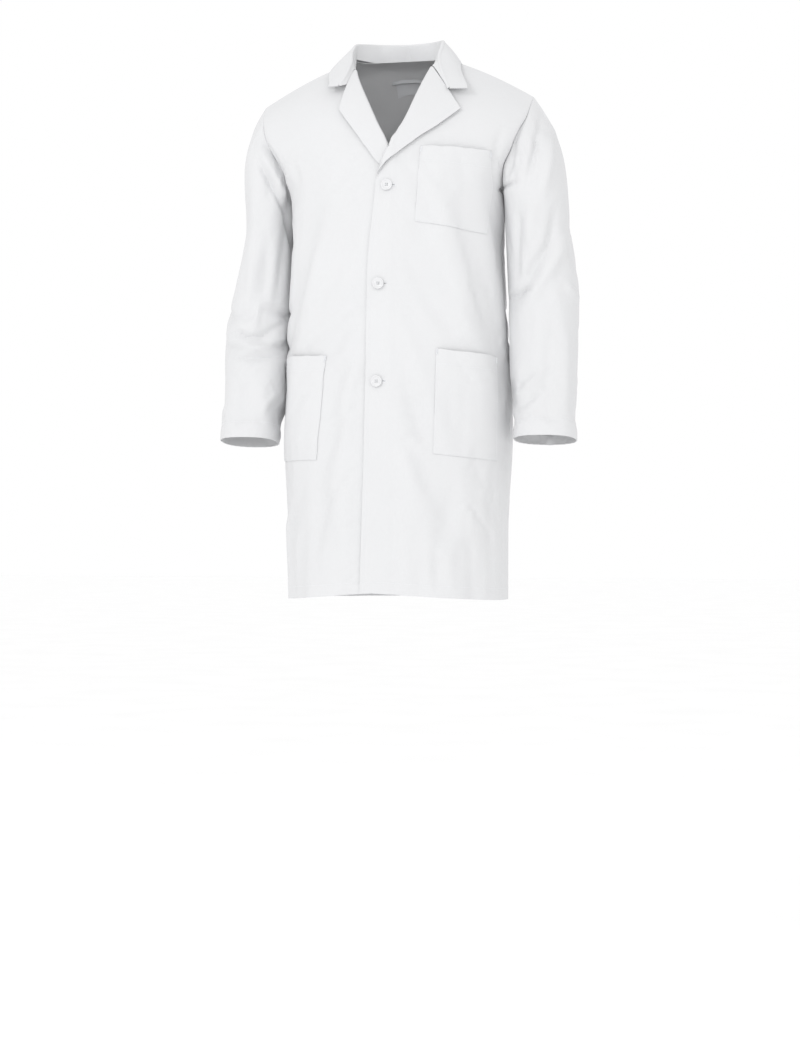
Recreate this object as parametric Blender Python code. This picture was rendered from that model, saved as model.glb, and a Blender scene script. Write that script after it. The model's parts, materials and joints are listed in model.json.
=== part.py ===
"""A white lab coat in the shape it has when worn: notched lapels, three buttons, one chest
pocket, two lower pockets, set-in sleeves and a back vent. Each cut piece of cloth, each layer
inside the collar and the front edges, and each button, thread and bar tack is its own object.

Metres. The origin is the middle of the neckline at the height of the shoulder seams' inner
ends. +X is the wearer's left, -Y the front, +Z up."""

import math

import bpy
import numpy as np
from mathutils import Matrix, Vector

# ---------------------------------------------------------------- driving dimensions
CLOTH = 0.0005  # thickness of one layer of cloth
LINING = 0.0003  # thickness of the fusible interlining
LAYER = 0.0007  # distance from one layer's middle to the next one's
SEAM_GAP = 0.0006  # left between two pieces that a seam joins
HEM_Z, ARMPIT_Z, SHOULDER_Z = -0.940, -0.245, -0.075
CENTRE_RISE = 0.012  # how much higher the hem is at the front edges
OVERLAP = 0.020  # how far each front runs past the centre front
LEFT_OVER_RIGHT = 0.0034  # the left front lies this far outside the right one
ROUND = 2.25  # roundness of the body's cross-section: 2 is an ellipse

ARMPIT_V, BREAK_V, GORGE_V = 0.70, 0.765, 0.955  # places up a panel: 0 hem, 1 shoulder seam
NECK_V = 0.893  # where the back's centre line reaches the neckline
ROLL_R = 0.0024  # radius of the lapel's and the collar's fold
ROLL_C = 0.15  # share of the lapel's columns that make the fold
NOTCH_C = 0.515  # how far along the lapel's top edge the collar reaches
COLLAR_ASIDE = 0.0165  # the collar's front ends are shifted this far to the wearer's left
COLLAR_TILT = 0.006  # and the left end hangs this much lower, the right one as much higher
# Where each moving piece turns: the line in a front where the cloth bends when it opens, and
# the top of the armhole, round which a sleeve is lifted. Own sense in x.
FRONT_HINGE, SHOULDER_HINGE = (0.150, -0.090, -0.500), (0.212, 0.0, -0.115)
BUTTONS = {"top": -0.239, "middle": -0.406, "bottom": -0.571}
BUTTON_R, BUTTON_T, BUTTON_STAND = 0.0100, 0.0030, 0.0012
SHANK_R = 0.0011
BUTTONHOLE_W, BUTTONHOLE_BACK = 0.0036, -0.064
BUTTONHOLE_STITCH, BUTTONHOLE_OFF, THREAD_T = 0.0018, 0.0006, 0.0004
SHARP = math.radians(40)  # edges that turn more than this stay sharp when shaded
# A pocket's corners as (x, z), seen from the front in its own half: the inner top one first,
# then the outer top, the outer bottom and the inner bottom one.
CHEST_POCKET = ((0.0655, -0.172), (0.1820, -0.180), (0.1690, -0.318), (0.0590, -0.300))
LOWER_POCKET_LEFT = ((0.0960, -0.515), (0.1870, -0.526), (0.1860, -0.702), (0.0920, -0.692))
LOWER_POCKET_RIGHT = ((0.0975, -0.524), (0.1880, -0.522), (0.1900, -0.701), (0.1180, -0.701))
POCKET_OFF, POCKET_MOUTH, POCKET_HEM = 0.0028, 0.0065, 0.025
BAR_TACK = (0.0010, 0.0035, 0.0003)  # half sides of the dense stitching at a pocket's corner
VENT_TOP_V, VENT_OFF = 0.31, 0.0022
NECK_FACING_OFF, LABEL_OFF = 0.0024, 0.0050
CUFF_Z, CUFF_HEM = -0.668, 0.026
LOOP_LENGTH, LOOP_WIDTH, LOOP_STAND = 0.060, 0.006, 0.0085

# Lines of the body, each row (v, x, y, z) in the left half. The side seam and the armhole are
# the outer lines, and the centre line with the roll line or the neckline the inner ones.
SIDE = [
    (0.000, 0.1935, 0.004, HEM_Z),
    (0.140, 0.1925, 0.004, -0.800),
    (0.290, 0.1985, 0.003, -0.650),
    (0.440, 0.1945, 0.002, -0.500),
    (0.545, 0.1885, 0.001, -0.395),
    (0.640, 0.1860, 0.001, -0.300),
    (ARMPIT_V, 0.1865, 0.000, ARMPIT_Z),
]
ARM_FRONT = SIDE + [
    (0.780, 0.1925, -0.046, -0.205),
    (0.860, 0.2170, -0.052, -0.160),
    (0.935, 0.2345, -0.035, -0.112),
    (1.000, 0.2390, 0.000, SHOULDER_Z),
]
ARM_BACK = SIDE + [
    (0.780, 0.1900, 0.054, -0.205),
    (0.860, 0.2060, 0.062, -0.155),
    (0.935, 0.2260, 0.044, -0.108),
    (1.000, 0.2390, 0.000, SHOULDER_Z),
]
FRONT_MIDDLE = [
    (0.000, 0.000, -0.150, HEM_Z + CENTRE_RISE),
    (0.290, 0.000, -0.150, -0.648),
    (0.440, 0.000, -0.146, -0.500),
    (0.545, 0.000, -0.141, -0.395),
    (0.640, 0.000, -0.136, -0.300),
    (ARMPIT_V, 0.000, -0.131, -0.243),
    (BREAK_V, 0.001, -0.122, -0.183),
    (0.830, 0.027, -0.106, -0.128),
    (0.890, 0.048, -0.083, -0.080),
    (GORGE_V, 0.0690, -0.042, -0.029),
    (1.000, 0.0770, 0.000, 0.000),
]
BACK_MIDDLE = [
    (0.000, 0.000, 0.166, HEM_Z),
    (0.290, 0.000, 0.156, -0.650),
    (0.440, 0.000, 0.143, -0.500),
    (0.545, 0.000, 0.137, -0.395),
    (0.640, 0.000, 0.140, -0.300),
    (ARMPIT_V, 0.000, 0.143, -0.240),
    (0.780, 0.000, 0.141, -0.150),
    (0.850, 0.000, 0.122, -0.060),
    (NECK_V, 0.000, 0.090, -0.004),
    (0.945, 0.050, 0.062, 0.003),
    (1.000, 0.0770, 0.000, 0.000),
]
# The coat hangs a little twisted: (v, how far the centre front stands to the wearer's left).
TWIST = [
    (0, -0.012), (0.39, -0.002), (0.56, -0.001), (0.70, 0.011), (BREAK_V, 0.013), (0.83, 0.012),
    (0.89, 0.007), (GORGE_V, 0.001), (1, 0),
]
# How each side's lapel turns over: where the fold starts and ends, how far the front edge runs
# past the centre at places up the front, and the folded edge's (v, x, z) seen from the front.
LAPEL = {
    1: {
        "fold": (0.712, 0.790),
        "past": [(0, OVERLAP), (1, OVERLAP)],
        "edge": [
            (0.700, -0.018, -0.250),
            (BREAK_V, -0.005, -0.206),
            (0.800, 0.018, -0.184),
            (0.840, 0.047, -0.159),
            (0.900, 0.091, -0.130),
            (GORGE_V, 0.126, -0.108),
        ],
    },
    -1: {
        "fold": (0.777, 0.812),
        "past": [(0, OVERLAP), (0.690, OVERLAP), (0.764, 0.0025), (1, 0.0025)],
        "edge": [
            (0.700, 0.002, -0.250),
            (0.781, 0.020, -0.190),
            (0.800, 0.033, -0.180),
            (0.840, 0.055, -0.151),
            (0.900, 0.074, -0.121),
            (GORGE_V, 0.084, -0.102),
        ],
    },
}
# The collar from the centre back (w 0) to its front end (w 1): the top of its roll and its
# outer edge. Up to SHOULDER_W it follows the back neckline and then, up to GORGE_W, the front's.
SHOULDER_W, GORGE_W = 0.58, 0.84
COLLAR = [
    (0.00, (0, 0.084, 0.040), (0, 0.130, -0.030)),
    (0.30, (0.043, 0.070, 0.039), (0.076, 0.106, -0.022)),
    (0.58, (0.0780, 0.010, 0.030), (0.120, 0.028, -0.014)),
    (0.72, (0.0800, -0.014, 0.014), (0.130, -0.010, -0.024)),
    (GORGE_W, (0.0760, -0.0395, -0.011), (0.130, -0.046, -0.042)),
    (0.93, (0.0810, -0.064, -0.039), (0.127, -0.067, -0.056)),
    (1.00, (0.0905, -0.080, -0.0625), (0.1225, -0.079, -0.064)),
]
# Each sleeve's middle line and half widths: (distance down, x, y, half width, half depth, how
# far the ring leans).
SLEEVE = {
    1: [
        (0.300, 0.2450, 0.006, 0.0530, 0.0620, 0.00),
        (0.400, 0.2570, 0.009, 0.0590, 0.0590, 0.00),
        (0.480, 0.2590, 0.000, 0.0585, 0.0570, 0.08),
        (0.580, 0.2630, -0.020, 0.0560, 0.0530, 0.14),
        (-CUFF_Z, 0.2670, -0.046, 0.0535, 0.0500, 0.14),
    ],
    -1: [
        (0.300, 0.2330, 0.010, 0.0410, 0.0690, 0.00),
        (0.350, 0.2390, 0.010, 0.0465, 0.0660, 0.00),
        (0.400, 0.2465, 0.010, 0.0525, 0.0620, 0.00),
        (0.480, 0.2560, 0.000, 0.0575, 0.0575, 0.08),
        (0.580, 0.2545, -0.020, 0.0550, 0.0540, 0.14),
        (-CUFF_Z, 0.2560, -0.046, 0.0500, 0.0530, 0.14),
    ],
}
CAP = 0.42  # share of the sleeve's length, in rows, that blends from the armhole to the arm

COTTON, FUSIBLE, PLASTIC, THREAD, TAPE = "cotton", "fusible", "plastic", "thread", "tape"
COLOURS = {
    COTTON: ((0.80, 0.82, 0.85), 0.85),
    FUSIBLE: ((0.74, 0.74, 0.72), 0.95),
    PLASTIC: ((0.83, 0.83, 0.82), 0.25),
    THREAD: ((0.86, 0.87, 0.88), 0.70),
    TAPE: ((0.78, 0.80, 0.84), 0.80),
}


# ---------------------------------------------------------------- curves and surfaces
class Through:
    """A smooth curve through rows (place, values...), which never overshoots them."""

    def __init__(self, rows):
        rows = np.array([np.hstack(r) for r in rows], float)
        self.at, self.values = rows[:, 0], rows[:, 1:]
        slopes = np.diff(self.values, axis=0) / np.diff(self.at)[:, None]
        inner = np.zeros_like(self.values[1:-1])
        same = slopes[:-1] * slopes[1:] > 0
        inner[same] = 2 / (1 / slopes[:-1][same] + 1 / slopes[1:][same])
        self.tangents = np.vstack([slopes[:1], inner, slopes[-1:]])

    def __call__(self, at):
        at = min(max(at, self.at[0]), self.at[-1])
        i = int(np.clip(np.searchsorted(self.at, at, side="right") - 1, 0, len(self.at) - 2))
        step = self.at[i + 1] - self.at[i]
        t = (at - self.at[i]) / step
        return (
            (1 + 2 * t) * (1 - t) ** 2 * self.values[i]
            + t * (1 - t) ** 2 * step * self.tangents[i]
            + t * t * (3 - 2 * t) * self.values[i + 1]
            + t * t * (t - 1) * step * self.tangents[i + 1]
        )


def smooth(low, high, x):
    t = min(max((x - low) / (high - low), 0), 1)
    return t * t * (3 - 2 * t)


INNER = {False: Through(FRONT_MIDDLE), True: Through(BACK_MIDDLE)}
OUTER = {False: Through(ARM_FRONT), True: Through(ARM_BACK)}
twist = Through(TWIST)
past = {side: Through(LAPEL[side]["past"]) for side in LAPEL}
lapel_edge = {side: Through(LAPEL[side]["edge"]) for side in LAPEL}
collar_lines = Through([(w, *roll, *edge) for w, roll, edge in COLLAR])
sleeve_line = {side: Through(rows) for side, rows in SLEEVE.items()}


def inner_line(side, back, v):
    """The inner line's (x in this half's own sense, y, z)."""
    x, y, z = INNER[back](v)
    return x + (0 if back else side * float(twist(v)[0])), y, z


def body(side, back, angle, v):
    """A point of the body's surface. side is 1 on the wearer's left and -1 on the right; angle
    runs from 0 at the inner line to 90 degrees at the side seam, and v from hem to shoulder.
    A negative angle goes past the inner line."""
    x, y, z = inner_line(side, back, v)
    outer = OUTER[back](v)
    across = math.sin(angle)
    depth = max(1 - abs(across) ** ROUND, 0) ** (1 / ROUND)
    return Vector(
        (
            side * (x + (outer[0] - x) * across),
            outer[1] + (y - outer[1]) * depth,
            z + (outer[2] - z) * abs(across),
        )
    )


def outward(side, back, angle, v):
    """The body surface's unit normal, pointing away from the wearer."""
    step = 1e-3
    angle, v = min(angle, math.pi / 2 - 0.03), min(max(v, step), 1 - step)
    along = body(side, back, angle + step, v) - body(side, back, angle - step, v)
    up = body(side, back, angle, v + step) - body(side, back, angle, v - step)
    normal = along.cross(up).normalized() * side
    return -normal if back else normal


def off_body(side, back, angle, v, out):
    return body(side, back, angle, v) + outward(side, back, angle, v) * out


def lift(side, x, v):
    """How far the front of this side stands outside the body's surface at x, own sense."""
    if side < 0:
        return 0.0
    return LEFT_OVER_RIGHT * (1 - smooth(0.035, 0.085, x)) * (1 - smooth(0.785, 0.86, v))


def on_front(side, x, z):
    """(angle, v) of the front's point seen at x, in this half's own sense, and z."""
    low, high = 0.0, 1.0
    for _ in range(36):
        v = (low + high) / 2
        start, _, middle_z = inner_line(side, False, v)
        outer = OUTER[False](v)
        across = (x - start) / (outer[0] - start)
        if middle_z + (outer[2] - middle_z) * abs(across) > z:
            high = v
        else:
            low = v
    return math.asin(min(max(across, -1), 1)), v


def front_at(side, x, z, out):
    """A point at x, z in the front's own sense, this far outside the front's own surface."""
    angle, v = on_front(side, x, z)
    return off_body(side, False, angle, v, out + lift(side, x, v))


def front_sheet(side, column, v):
    """The middle of the front's outer cloth. column is -1 at the side seam, 0 at the centre
    front or the roll line, and 1 at the free edge."""
    if column > 0 and v > GORGE_V:  # beyond the lapel's end, only to give its edge a normal
        at, below = (front_sheet(side, column, GORGE_V - d) for d in (0, v - GORGE_V))
        return at * 2 - below
    start, _, start_z = inner_line(side, False, v)
    width = OUTER[False](v)[0] - start
    if column <= 0:
        angle = -column * (math.pi / 2 - SEAM_GAP / width)
        return off_body(
            side, False, angle, v, lift(side, start + width * math.sin(angle), v) - CLOTH / 2
        )
    reach = float(past[side](v)[0])
    flat = off_body(side, False, -column * reach / width, v, lift(side, 0, v) - CLOTH / 2)
    fold = math.pi * smooth(*LAPEL[side]["fold"], v)
    if fold == 0:
        return flat
    out = outward(side, False, 0, v)
    root = body(side, False, 0, v) + out * (lift(side, 0, v) - CLOTH / 2)
    if column < ROLL_C:
        turn = fold * column / ROLL_C
        inward = Vector((-side, 0, 0))
        return root + inward * ROLL_R * math.sin(turn) + out * ROLL_R * (1 - math.cos(turn))
    share = (column - ROLL_C) / (1 - ROLL_C)
    edge_x, edge_z = lapel_edge[side](v)
    edge_x += side * float(twist(v)[0])
    turned = front_at(
        side,
        start + (edge_x - start) * share,
        start_z + (edge_z - start_z) * share,
        2 * ROLL_R - CLOTH / 2,
    )
    rise = (flat - turned).length / 2 * math.sin(fold)
    return flat.lerp(turned, (1 - math.cos(fold)) / 2) + out * rise


# ---------------------------------------------------------------- making objects
def material(name):
    made = bpy.data.materials.get(name)
    if made is None:
        made = bpy.data.materials.new(name)
        made.use_nodes = True
        colour, roughness = COLOURS[name]
        shader = made.node_tree.nodes["Principled BSDF"]
        shader.inputs["Base Color"].default_value = (*colour, 1)
        shader.inputs["Roughness"].default_value = roughness
        made.diffuse_color = (*colour, 1)
    return made


def add(name, points, triangles, stuff):
    """An object from points and triangles, turned so that its faces point out."""
    points, triangles = np.array(points, float), np.array(triangles, int)
    if np.linalg.det(points[triangles] - points.mean(axis=0)).sum() < 0:
        triangles = triangles[:, ::-1]
    mesh = bpy.data.meshes.new(name)
    mesh.from_pydata(points.tolist(), [], triangles.tolist())
    mesh.shade_smooth()
    mesh.set_sharp_from_angle(angle=SHARP)
    mesh.materials.append(material(stuff))
    obj = bpy.data.objects.new(name, mesh)
    bpy.context.scene.collection.objects.link(obj)
    return obj


def normals_of(grid):
    """The unit normals of a grid of points, from its neighbours along both directions."""
    normal = np.cross(np.gradient(grid, axis=0), np.gradient(grid, axis=1))
    return normal / np.linalg.norm(normal, axis=2, keepdims=True)


def sheet(name, grid, normals, offset, thickness, stuff, keep=None, mirror_at=None):
    """Cloth of this thickness on a grid of points, moved along its normals. keep(i, j) says
    whether the cell from point i, j is cloth. From row mirror_at on, each cell is split along
    its other diagonal, so that both halves of a symmetrical piece are mirror images."""
    high, wide = grid.shape[:2]
    front = (grid + normals * (offset + thickness / 2)).reshape(-1, 3)
    behind = (grid + normals * (offset - thickness / 2)).reshape(-1, 3)
    total, triangles, edges = high * wide, [], {}
    for i in range(high - 1):
        for j in range(wide - 1):
            if keep and not keep(i, j):
                continue
            a, b = i * wide + j, i * wide + j + 1
            c, d = a + wide, b + wide
            halves = ((a, b, d), (a, d, c))
            if mirror_at is not None and i >= mirror_at:
                halves = ((a, b, c), (b, d, c))
            for face in halves:
                triangles.append(face)
                triangles.append([total + k for k in reversed(face)])
            for edge in ((a, b), (b, d), (d, c), (c, a)):
                if edge[::-1] in edges:
                    del edges[edge[::-1]]
                else:
                    edges[edge] = True
    for a, b in edges:
        triangles += [(b, a, total + a), (b, total + a, total + b)]
    used = np.unique(np.array(triangles))
    renumber = {int(k): n for n, k in enumerate(used)}
    points = np.vstack([front, behind])[used]
    return add(name, points, [[renumber[int(k)] for k in t] for t in triangles], stuff)


def placed(obj, centre, axes):
    """The object with its origin at centre and its own X, Y and Z along these three axes."""
    turn = Matrix(axes).transposed()
    obj.rotation_mode = "QUATERNION"
    obj.location, obj.rotation_quaternion = centre, turn.to_quaternion()
    return obj


def axes_about(axis):
    """Two unit directions at right angles to an axis and to each other, and the axis."""
    level = axis.cross(Vector((0, 0, 1))).normalized()
    return level, axis.cross(level).normalized(), axis.normalized()


def grid_of(point, rows, columns):
    return np.array([[point(column, row) for column in columns] for row in rows])


def lathe(name, profile, centre, axis, stuff, turns=24):
    """A solid of revolution. profile is a closed loop of (radius, height along the axis)."""
    points, triangles, rings = [], [], []
    for radius, height in profile:
        around = 1 if radius == 0 else turns
        rings.append([len(points) + k % around for k in range(turns)])
        for k in range(around):
            a = 2 * math.pi * k / turns
            points.append((radius * math.cos(a), radius * math.sin(a), height))
    for first, second in zip(rings, rings[1:]):
        for k in range(turns):
            n = (k + 1) % turns
            for face in ((first[k], first[n], second[n]), (first[k], second[n], second[k])):
                if len(set(face)) == 3:
                    triangles.append(face)
    return placed(add(name, points, triangles, stuff), centre, axes_about(axis))


def block(name, centre, axes, half, stuff):
    """A box with these half sides along three axes."""
    points = [
        (x, y, z)
        for x in (-half[0], half[0])
        for y in (-half[1], half[1])
        for z in (-half[2], half[2])
    ]
    quads = [(0, 1, 3, 2), (4, 6, 7, 5), (0, 4, 5, 1), (2, 3, 7, 6), (0, 2, 6, 4), (1, 5, 7, 3)]
    triangles = [t for a, b, c, d in quads for t in ((a, b, c), (a, c, d))]
    return placed(add(name, points, triangles, stuff), centre, axes)


# ---------------------------------------------------------------- the fronts
FRONT_COLUMNS = [-1, -0.86, -0.72, -0.58, -0.46, -0.35, -0.25, -0.15, BUTTONHOLE_BACK]
FRONT_COLUMNS += [0, ROLL_C / 3, ROLL_C * 2 / 3, ROLL_C, 0.4, 0.7, 1]
FACING_FROM, INTERLINING_FROM = FRONT_COLUMNS.index(-0.25), FRONT_COLUMNS.index(-0.15)
BUTTON_V = {name: on_front(1, 0, z)[1] for name, z in BUTTONS.items()}


def front_rows():
    rows = [0, 0.10, 0.20, 0.30, 0.46, 0.62]
    rows += [0.712, 0.735, 0.752, 0.764, 0.781, 0.800, 0.822, 0.855, 0.900, 0.930, GORGE_V, 1]
    for name, z in BUTTONS.items():
        rows += [on_front(1, 0, z + half)[1] for half in (-BUTTONHOLE_W / 2, BUTTONHOLE_W / 2)]
    return sorted(rows)


ROWS = front_rows()
GORGE_ROW = ROWS.index(GORGE_V)
FIRST_LAPEL = FRONT_COLUMNS.index(0)


def in_front(side, first=0):
    """Which cells of the front's grid are cloth, for a layer that starts at this column."""
    holes = []
    if side > 0:
        low = FRONT_COLUMNS.index(BUTTONHOLE_BACK)
        for v in BUTTON_V.values():
            row = max(k for k, r in enumerate(ROWS) if r < v)
            holes += [(row, j) for j in range(low, FRONT_COLUMNS.index(ROLL_C))]

    def keep(i, j):
        return (i, j) not in holes and j >= first and not (j >= FIRST_LAPEL and i >= GORGE_ROW)

    return keep


def turned_out(grid, normals, wanted):
    """The normals, all turned so that the one at row 0, column 0 points as wanted."""
    return normals if Vector(normals[0, 0]).dot(wanted) > 0 else -normals


def make_front(side, word):
    grid = grid_of(lambda c, v: front_sheet(side, c, v), ROWS, FRONT_COLUMNS)
    normals = turned_out(grid, normals_of(grid), outward(side, False, 1.4, 0))
    sheet(f"front_{word}", grid, normals, 0, CLOTH, COTTON, in_front(side))
    sheet(
        f"front_interlining_{word}", grid, normals, -LAYER, LINING, FUSIBLE,
        in_front(side, INTERLINING_FROM),
    )
    sheet(
        f"front_facing_{word}", grid, normals, -2 * LAYER, CLOTH, COTTON,
        in_front(side, FACING_FROM),
    )
    return grid, normals


# ---------------------------------------------------------------- the back
BACK_ANGLES = [0, 8, 18, 30, 43, 56, 68, 79, 90]
BACK_ROWS = [0, 0.1, 0.2, VENT_TOP_V, 0.42, 0.53, 0.62, 0.70, 0.745, 0.79, 0.82, 0.845, 0.862, 0.878]
BACK_ROWS += [NECK_V, 0.915, 0.94, 0.965, 0.985, 1]
NECK_ROW = BACK_ROWS.index(NECK_V)


def back_sheet(side, angle, v, offset=0.0):
    width = OUTER[True](v)[0]
    gap = SEAM_GAP / width
    angle = gap / 2 + math.radians(angle) * (1 - 1.5 * gap / (math.pi / 2))
    drop = 0.0009 * smooth(0.985, 1.0, v)  # the shoulder seam's gap
    return off_body(side, True, angle, v, offset - CLOTH / 2) + Vector((0, drop, -drop / 3))


def make_back(side, word):
    grid = grid_of(lambda a, v: back_sheet(side, a, v), BACK_ROWS, BACK_ANGLES)
    normals = turned_out(grid, normals_of(grid), outward(side, True, 0.1, 0))
    sheet(f"back_{word}", grid, normals, 0, CLOTH, COTTON)


def make_vent():
    """The strip under the left back's edge, which closes the vent from inside."""
    angles = [-13, -8, -3, 3, 8, 13]
    rows = [0.004, 0.09, 0.18, VENT_TOP_V, VENT_TOP_V + 0.02]
    grid = grid_of(
        lambda a, v: off_body(1 if a > 0 else -1, True, math.radians(abs(a)), v, -VENT_OFF),
        rows, angles,
    )
    normals = turned_out(grid, normals_of(grid), outward(1, True, 0.2, 0.1))
    sheet("vent_underlap", grid, normals, 0, CLOTH, COTTON)


def make_neck_facing():
    angles = [-30, -18, -8, -1.0, 1.0, 8, 18, 30]
    rows = [v for v in BACK_ROWS if 0.81 < v < 0.99]
    grid = grid_of(
        lambda a, v: off_body(
            1 if a > 0 else -1, True, math.radians(abs(a)), v, -NECK_FACING_OFF
        ),
        rows, angles,
    )
    normals = turned_out(grid, normals_of(grid), outward(-1, True, 0.5, 0.815))
    sheet(
        "back_neck_facing", grid, normals, 0, CLOTH, COTTON,
        lambda i, j: not (rows[i] >= NECK_V and angles[j] == -1.0),
    )


def inside_back(x, v, out):
    side = 1 if x >= 0 else -1
    angle = math.asin(min(abs(x) / OUTER[True](v)[0], 1))
    return off_body(side, True, angle, v, -out)


def make_label_and_loop():
    rows = [0.862, 0.872, 0.882]
    columns = [-0.026, -0.013, 0, 0.013, 0.026]
    grid = grid_of(lambda x, v: inside_back(x, v, LABEL_OFF), rows, columns)
    normals = normals_of(grid)
    sheet("neck_label", grid, normals, 0, LINING, TAPE)
    half = LOOP_LENGTH / 2
    places = np.linspace(-half, half, 15)
    grid = grid_of(
        lambda x, up: inside_back(
            x, NECK_V - 0.006, LABEL_OFF + 0.0012 + LOOP_STAND * (1 - (abs(x) / half) ** 4)
        ) + Vector((0, 0, up)),
        [-LOOP_WIDTH, 0], places,
    )
    normals = np.cross(
        np.gradient(grid, axis=1), np.broadcast_to([0.0, 0.0, 1.0], grid.shape)
    )
    normals /= np.linalg.norm(normals, axis=2, keepdims=True)
    sheet("hanger_loop", grid, normals, 0, 2 * CLOTH, TAPE)


# ---------------------------------------------------------------- the collar
def collar_seam(w):
    """The collar's seam line: the back neckline, the front neckline, then the lapel's top."""
    side = 1 if w >= 0 else -1
    w = abs(w)
    if w <= SHOULDER_W:
        v = NECK_V + (1 - NECK_V) * w / SHOULDER_W
        x, y, z = INNER[True](v)
        return Vector((side * (x - 0.0012 * smooth(0, 0.1, w)), y - 0.001, z + 0.0018))
    if w <= GORGE_W:
        v = 1 - (1 - GORGE_V) * (w - SHOULDER_W) / (GORGE_W - SHOULDER_W)
        root = body(side, False, 0, v)
        return root + Vector((-side * 0.0012, 0, 0.0018))
    column = ROLL_C + (NOTCH_C - ROLL_C) * (w - GORGE_W) / (1 - GORGE_W)
    top, below = front_sheet(side, column, GORGE_V), front_sheet(side, column, GORGE_V - 0.01)
    return top + (top - below).normalized() * 0.0026 + Vector((0, -0.0010, 0.0008))


COLLAR_ACROSS = [0, 0.5, 1, 1.33, 1.67, 2, 2.5, 3]  # 0 seam, 1 to 2 the roll, 3 outer edge


def collar_sheet(w, s):
    side = 1 if w >= 0 else -1
    lines = collar_lines(abs(w))
    seam = collar_seam(w)
    end = smooth(0.74, 1, abs(w))
    aside, drop = COLLAR_ASIDE * end, side * COLLAR_TILT * end
    roll_aside = aside * (1 if side > 0 else 0.25)
    roll = Vector((side * lines[0] + roll_aside, lines[1], lines[2] - drop))
    edge = Vector((side * lines[3] + aside, lines[4], lines[5] - drop))
    away = (edge - roll) * Vector((1, 1, 0))
    away.normalize()
    radius = ROLL_R * (1 - 0.35 * smooth(0.8, 1, abs(w)))
    centre = roll - Vector((0, 0, radius))
    if s <= 1:
        return seam.lerp(centre - away * radius, s)
    if s < 2:
        turn = math.pi * (s - 1)
        return centre - away * radius * math.cos(turn) + Vector((0, 0, radius * math.sin(turn)))
    return (centre + away * radius).lerp(edge, s - 2)


def make_collar():
    half = [0.08, 0.2, 0.32, 0.45, SHOULDER_W, 0.68, 0.77, GORGE_W, 0.88, 0.92, 0.96, 1]
    places = [-w for w in reversed(half)] + half
    grid = grid_of(lambda s, w: collar_sheet(w, s), places, COLLAR_ACROSS)
    normals = normals_of(grid)
    middle = len(places) // 2
    if normals[middle, -1][1] < 0:
        normals = -normals
    sheet("upper_collar", grid, normals, LAYER, CLOTH, COTTON, mirror_at=middle)
    sheet("collar_interlining", grid, normals, 0, LINING, FUSIBLE, mirror_at=middle)
    sheet("under_collar", grid, normals, -LAYER, CLOTH, COTTON, mirror_at=middle)


# ---------------------------------------------------------------- the sleeves
def armhole(turn):
    """The armhole's (v, back) at this turn: 0 at the shoulder, 1 or -1 at the armpit, front
    negative."""
    return 1 - (1 - ARMPIT_V) * abs(turn), turn > 0


def sleeve_ring(side, turn, down):
    x, y, half_width, half_depth, lean = sleeve_line[side](down)
    angle = math.pi * turn
    away = half_depth * math.sin(angle)
    return Vector((x + half_width * math.cos(angle), y + away, -down - lean * away))


def sleeve_sheet(side, turn, row, inside=0.0):
    """The sleeve's middle: turn -1 to 1 from the armpit over the front, the shoulder and the
    back to the armpit, and row 0 at the armhole to 1 at the cuff."""
    turn *= 1 - 0.0025
    first = SLEEVE[side][0][0]
    if row >= CAP:
        down = first + (-CUFF_Z - first) * (row - CAP) / (1 - CAP)
        point = sleeve_ring(side, turn, down)
        middle = sleeve_line[side](down)
        axis = Vector((middle[0], middle[1], -down))
        point -= (point - axis).normalized() * inside
    else:
        v, back = armhole(turn)
        start = Vector(OUTER[back](v)) if abs(turn) < 1 else Vector(SIDE[-1][1:])
        top = (1 + math.cos(math.pi * turn)) / 2
        ahead = Vector((0.10 + 0.45 * top, 0.35 * math.sin(math.pi * turn), -1 + 0.20 * top))
        ahead.normalize()
        start = start + ahead * 0.0010 + Vector((0.0014, 0, 0))
        end = sleeve_ring(side, turn, first)
        reach = (end - start).length * 0.42
        t = row / CAP
        point = (
            start * (1 - t) ** 3
            + (start + ahead * reach) * 3 * t * (1 - t) ** 2
            + (end + Vector((0, 0, reach))) * 3 * t * t * (1 - t)
            + end * t**3
        )
    return Vector((side * point.x, point.y, point.z))


def make_sleeve(side, word):
    turns = np.linspace(-1, 1, 23)
    rows = list(np.linspace(0, CAP, 7)) + list(np.linspace(CAP, 1, 9))[1:]
    grid = grid_of(lambda t, r: sleeve_sheet(side, t, r), rows, turns)
    normals = turned_out(grid, normals_of(grid), Vector((-side, 0, 0)))
    sheet(f"sleeve_{word}", grid, normals, 0, CLOTH, COTTON)
    length = -CUFF_Z - SLEEVE[side][0][0]
    first = 1 - CUFF_HEM / length * (1 - CAP)
    grid = grid_of(
        lambda t, r: sleeve_sheet(side, t, r, 0.0014), [first, (1 + first) / 2, 0.999],
        np.linspace(-1, 1, 23),
    )
    normals = turned_out(grid, normals_of(grid), Vector((-side, 0, 0)))
    sheet(f"cuff_facing_{word}", grid, normals, 0, CLOTH, COTTON)


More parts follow.
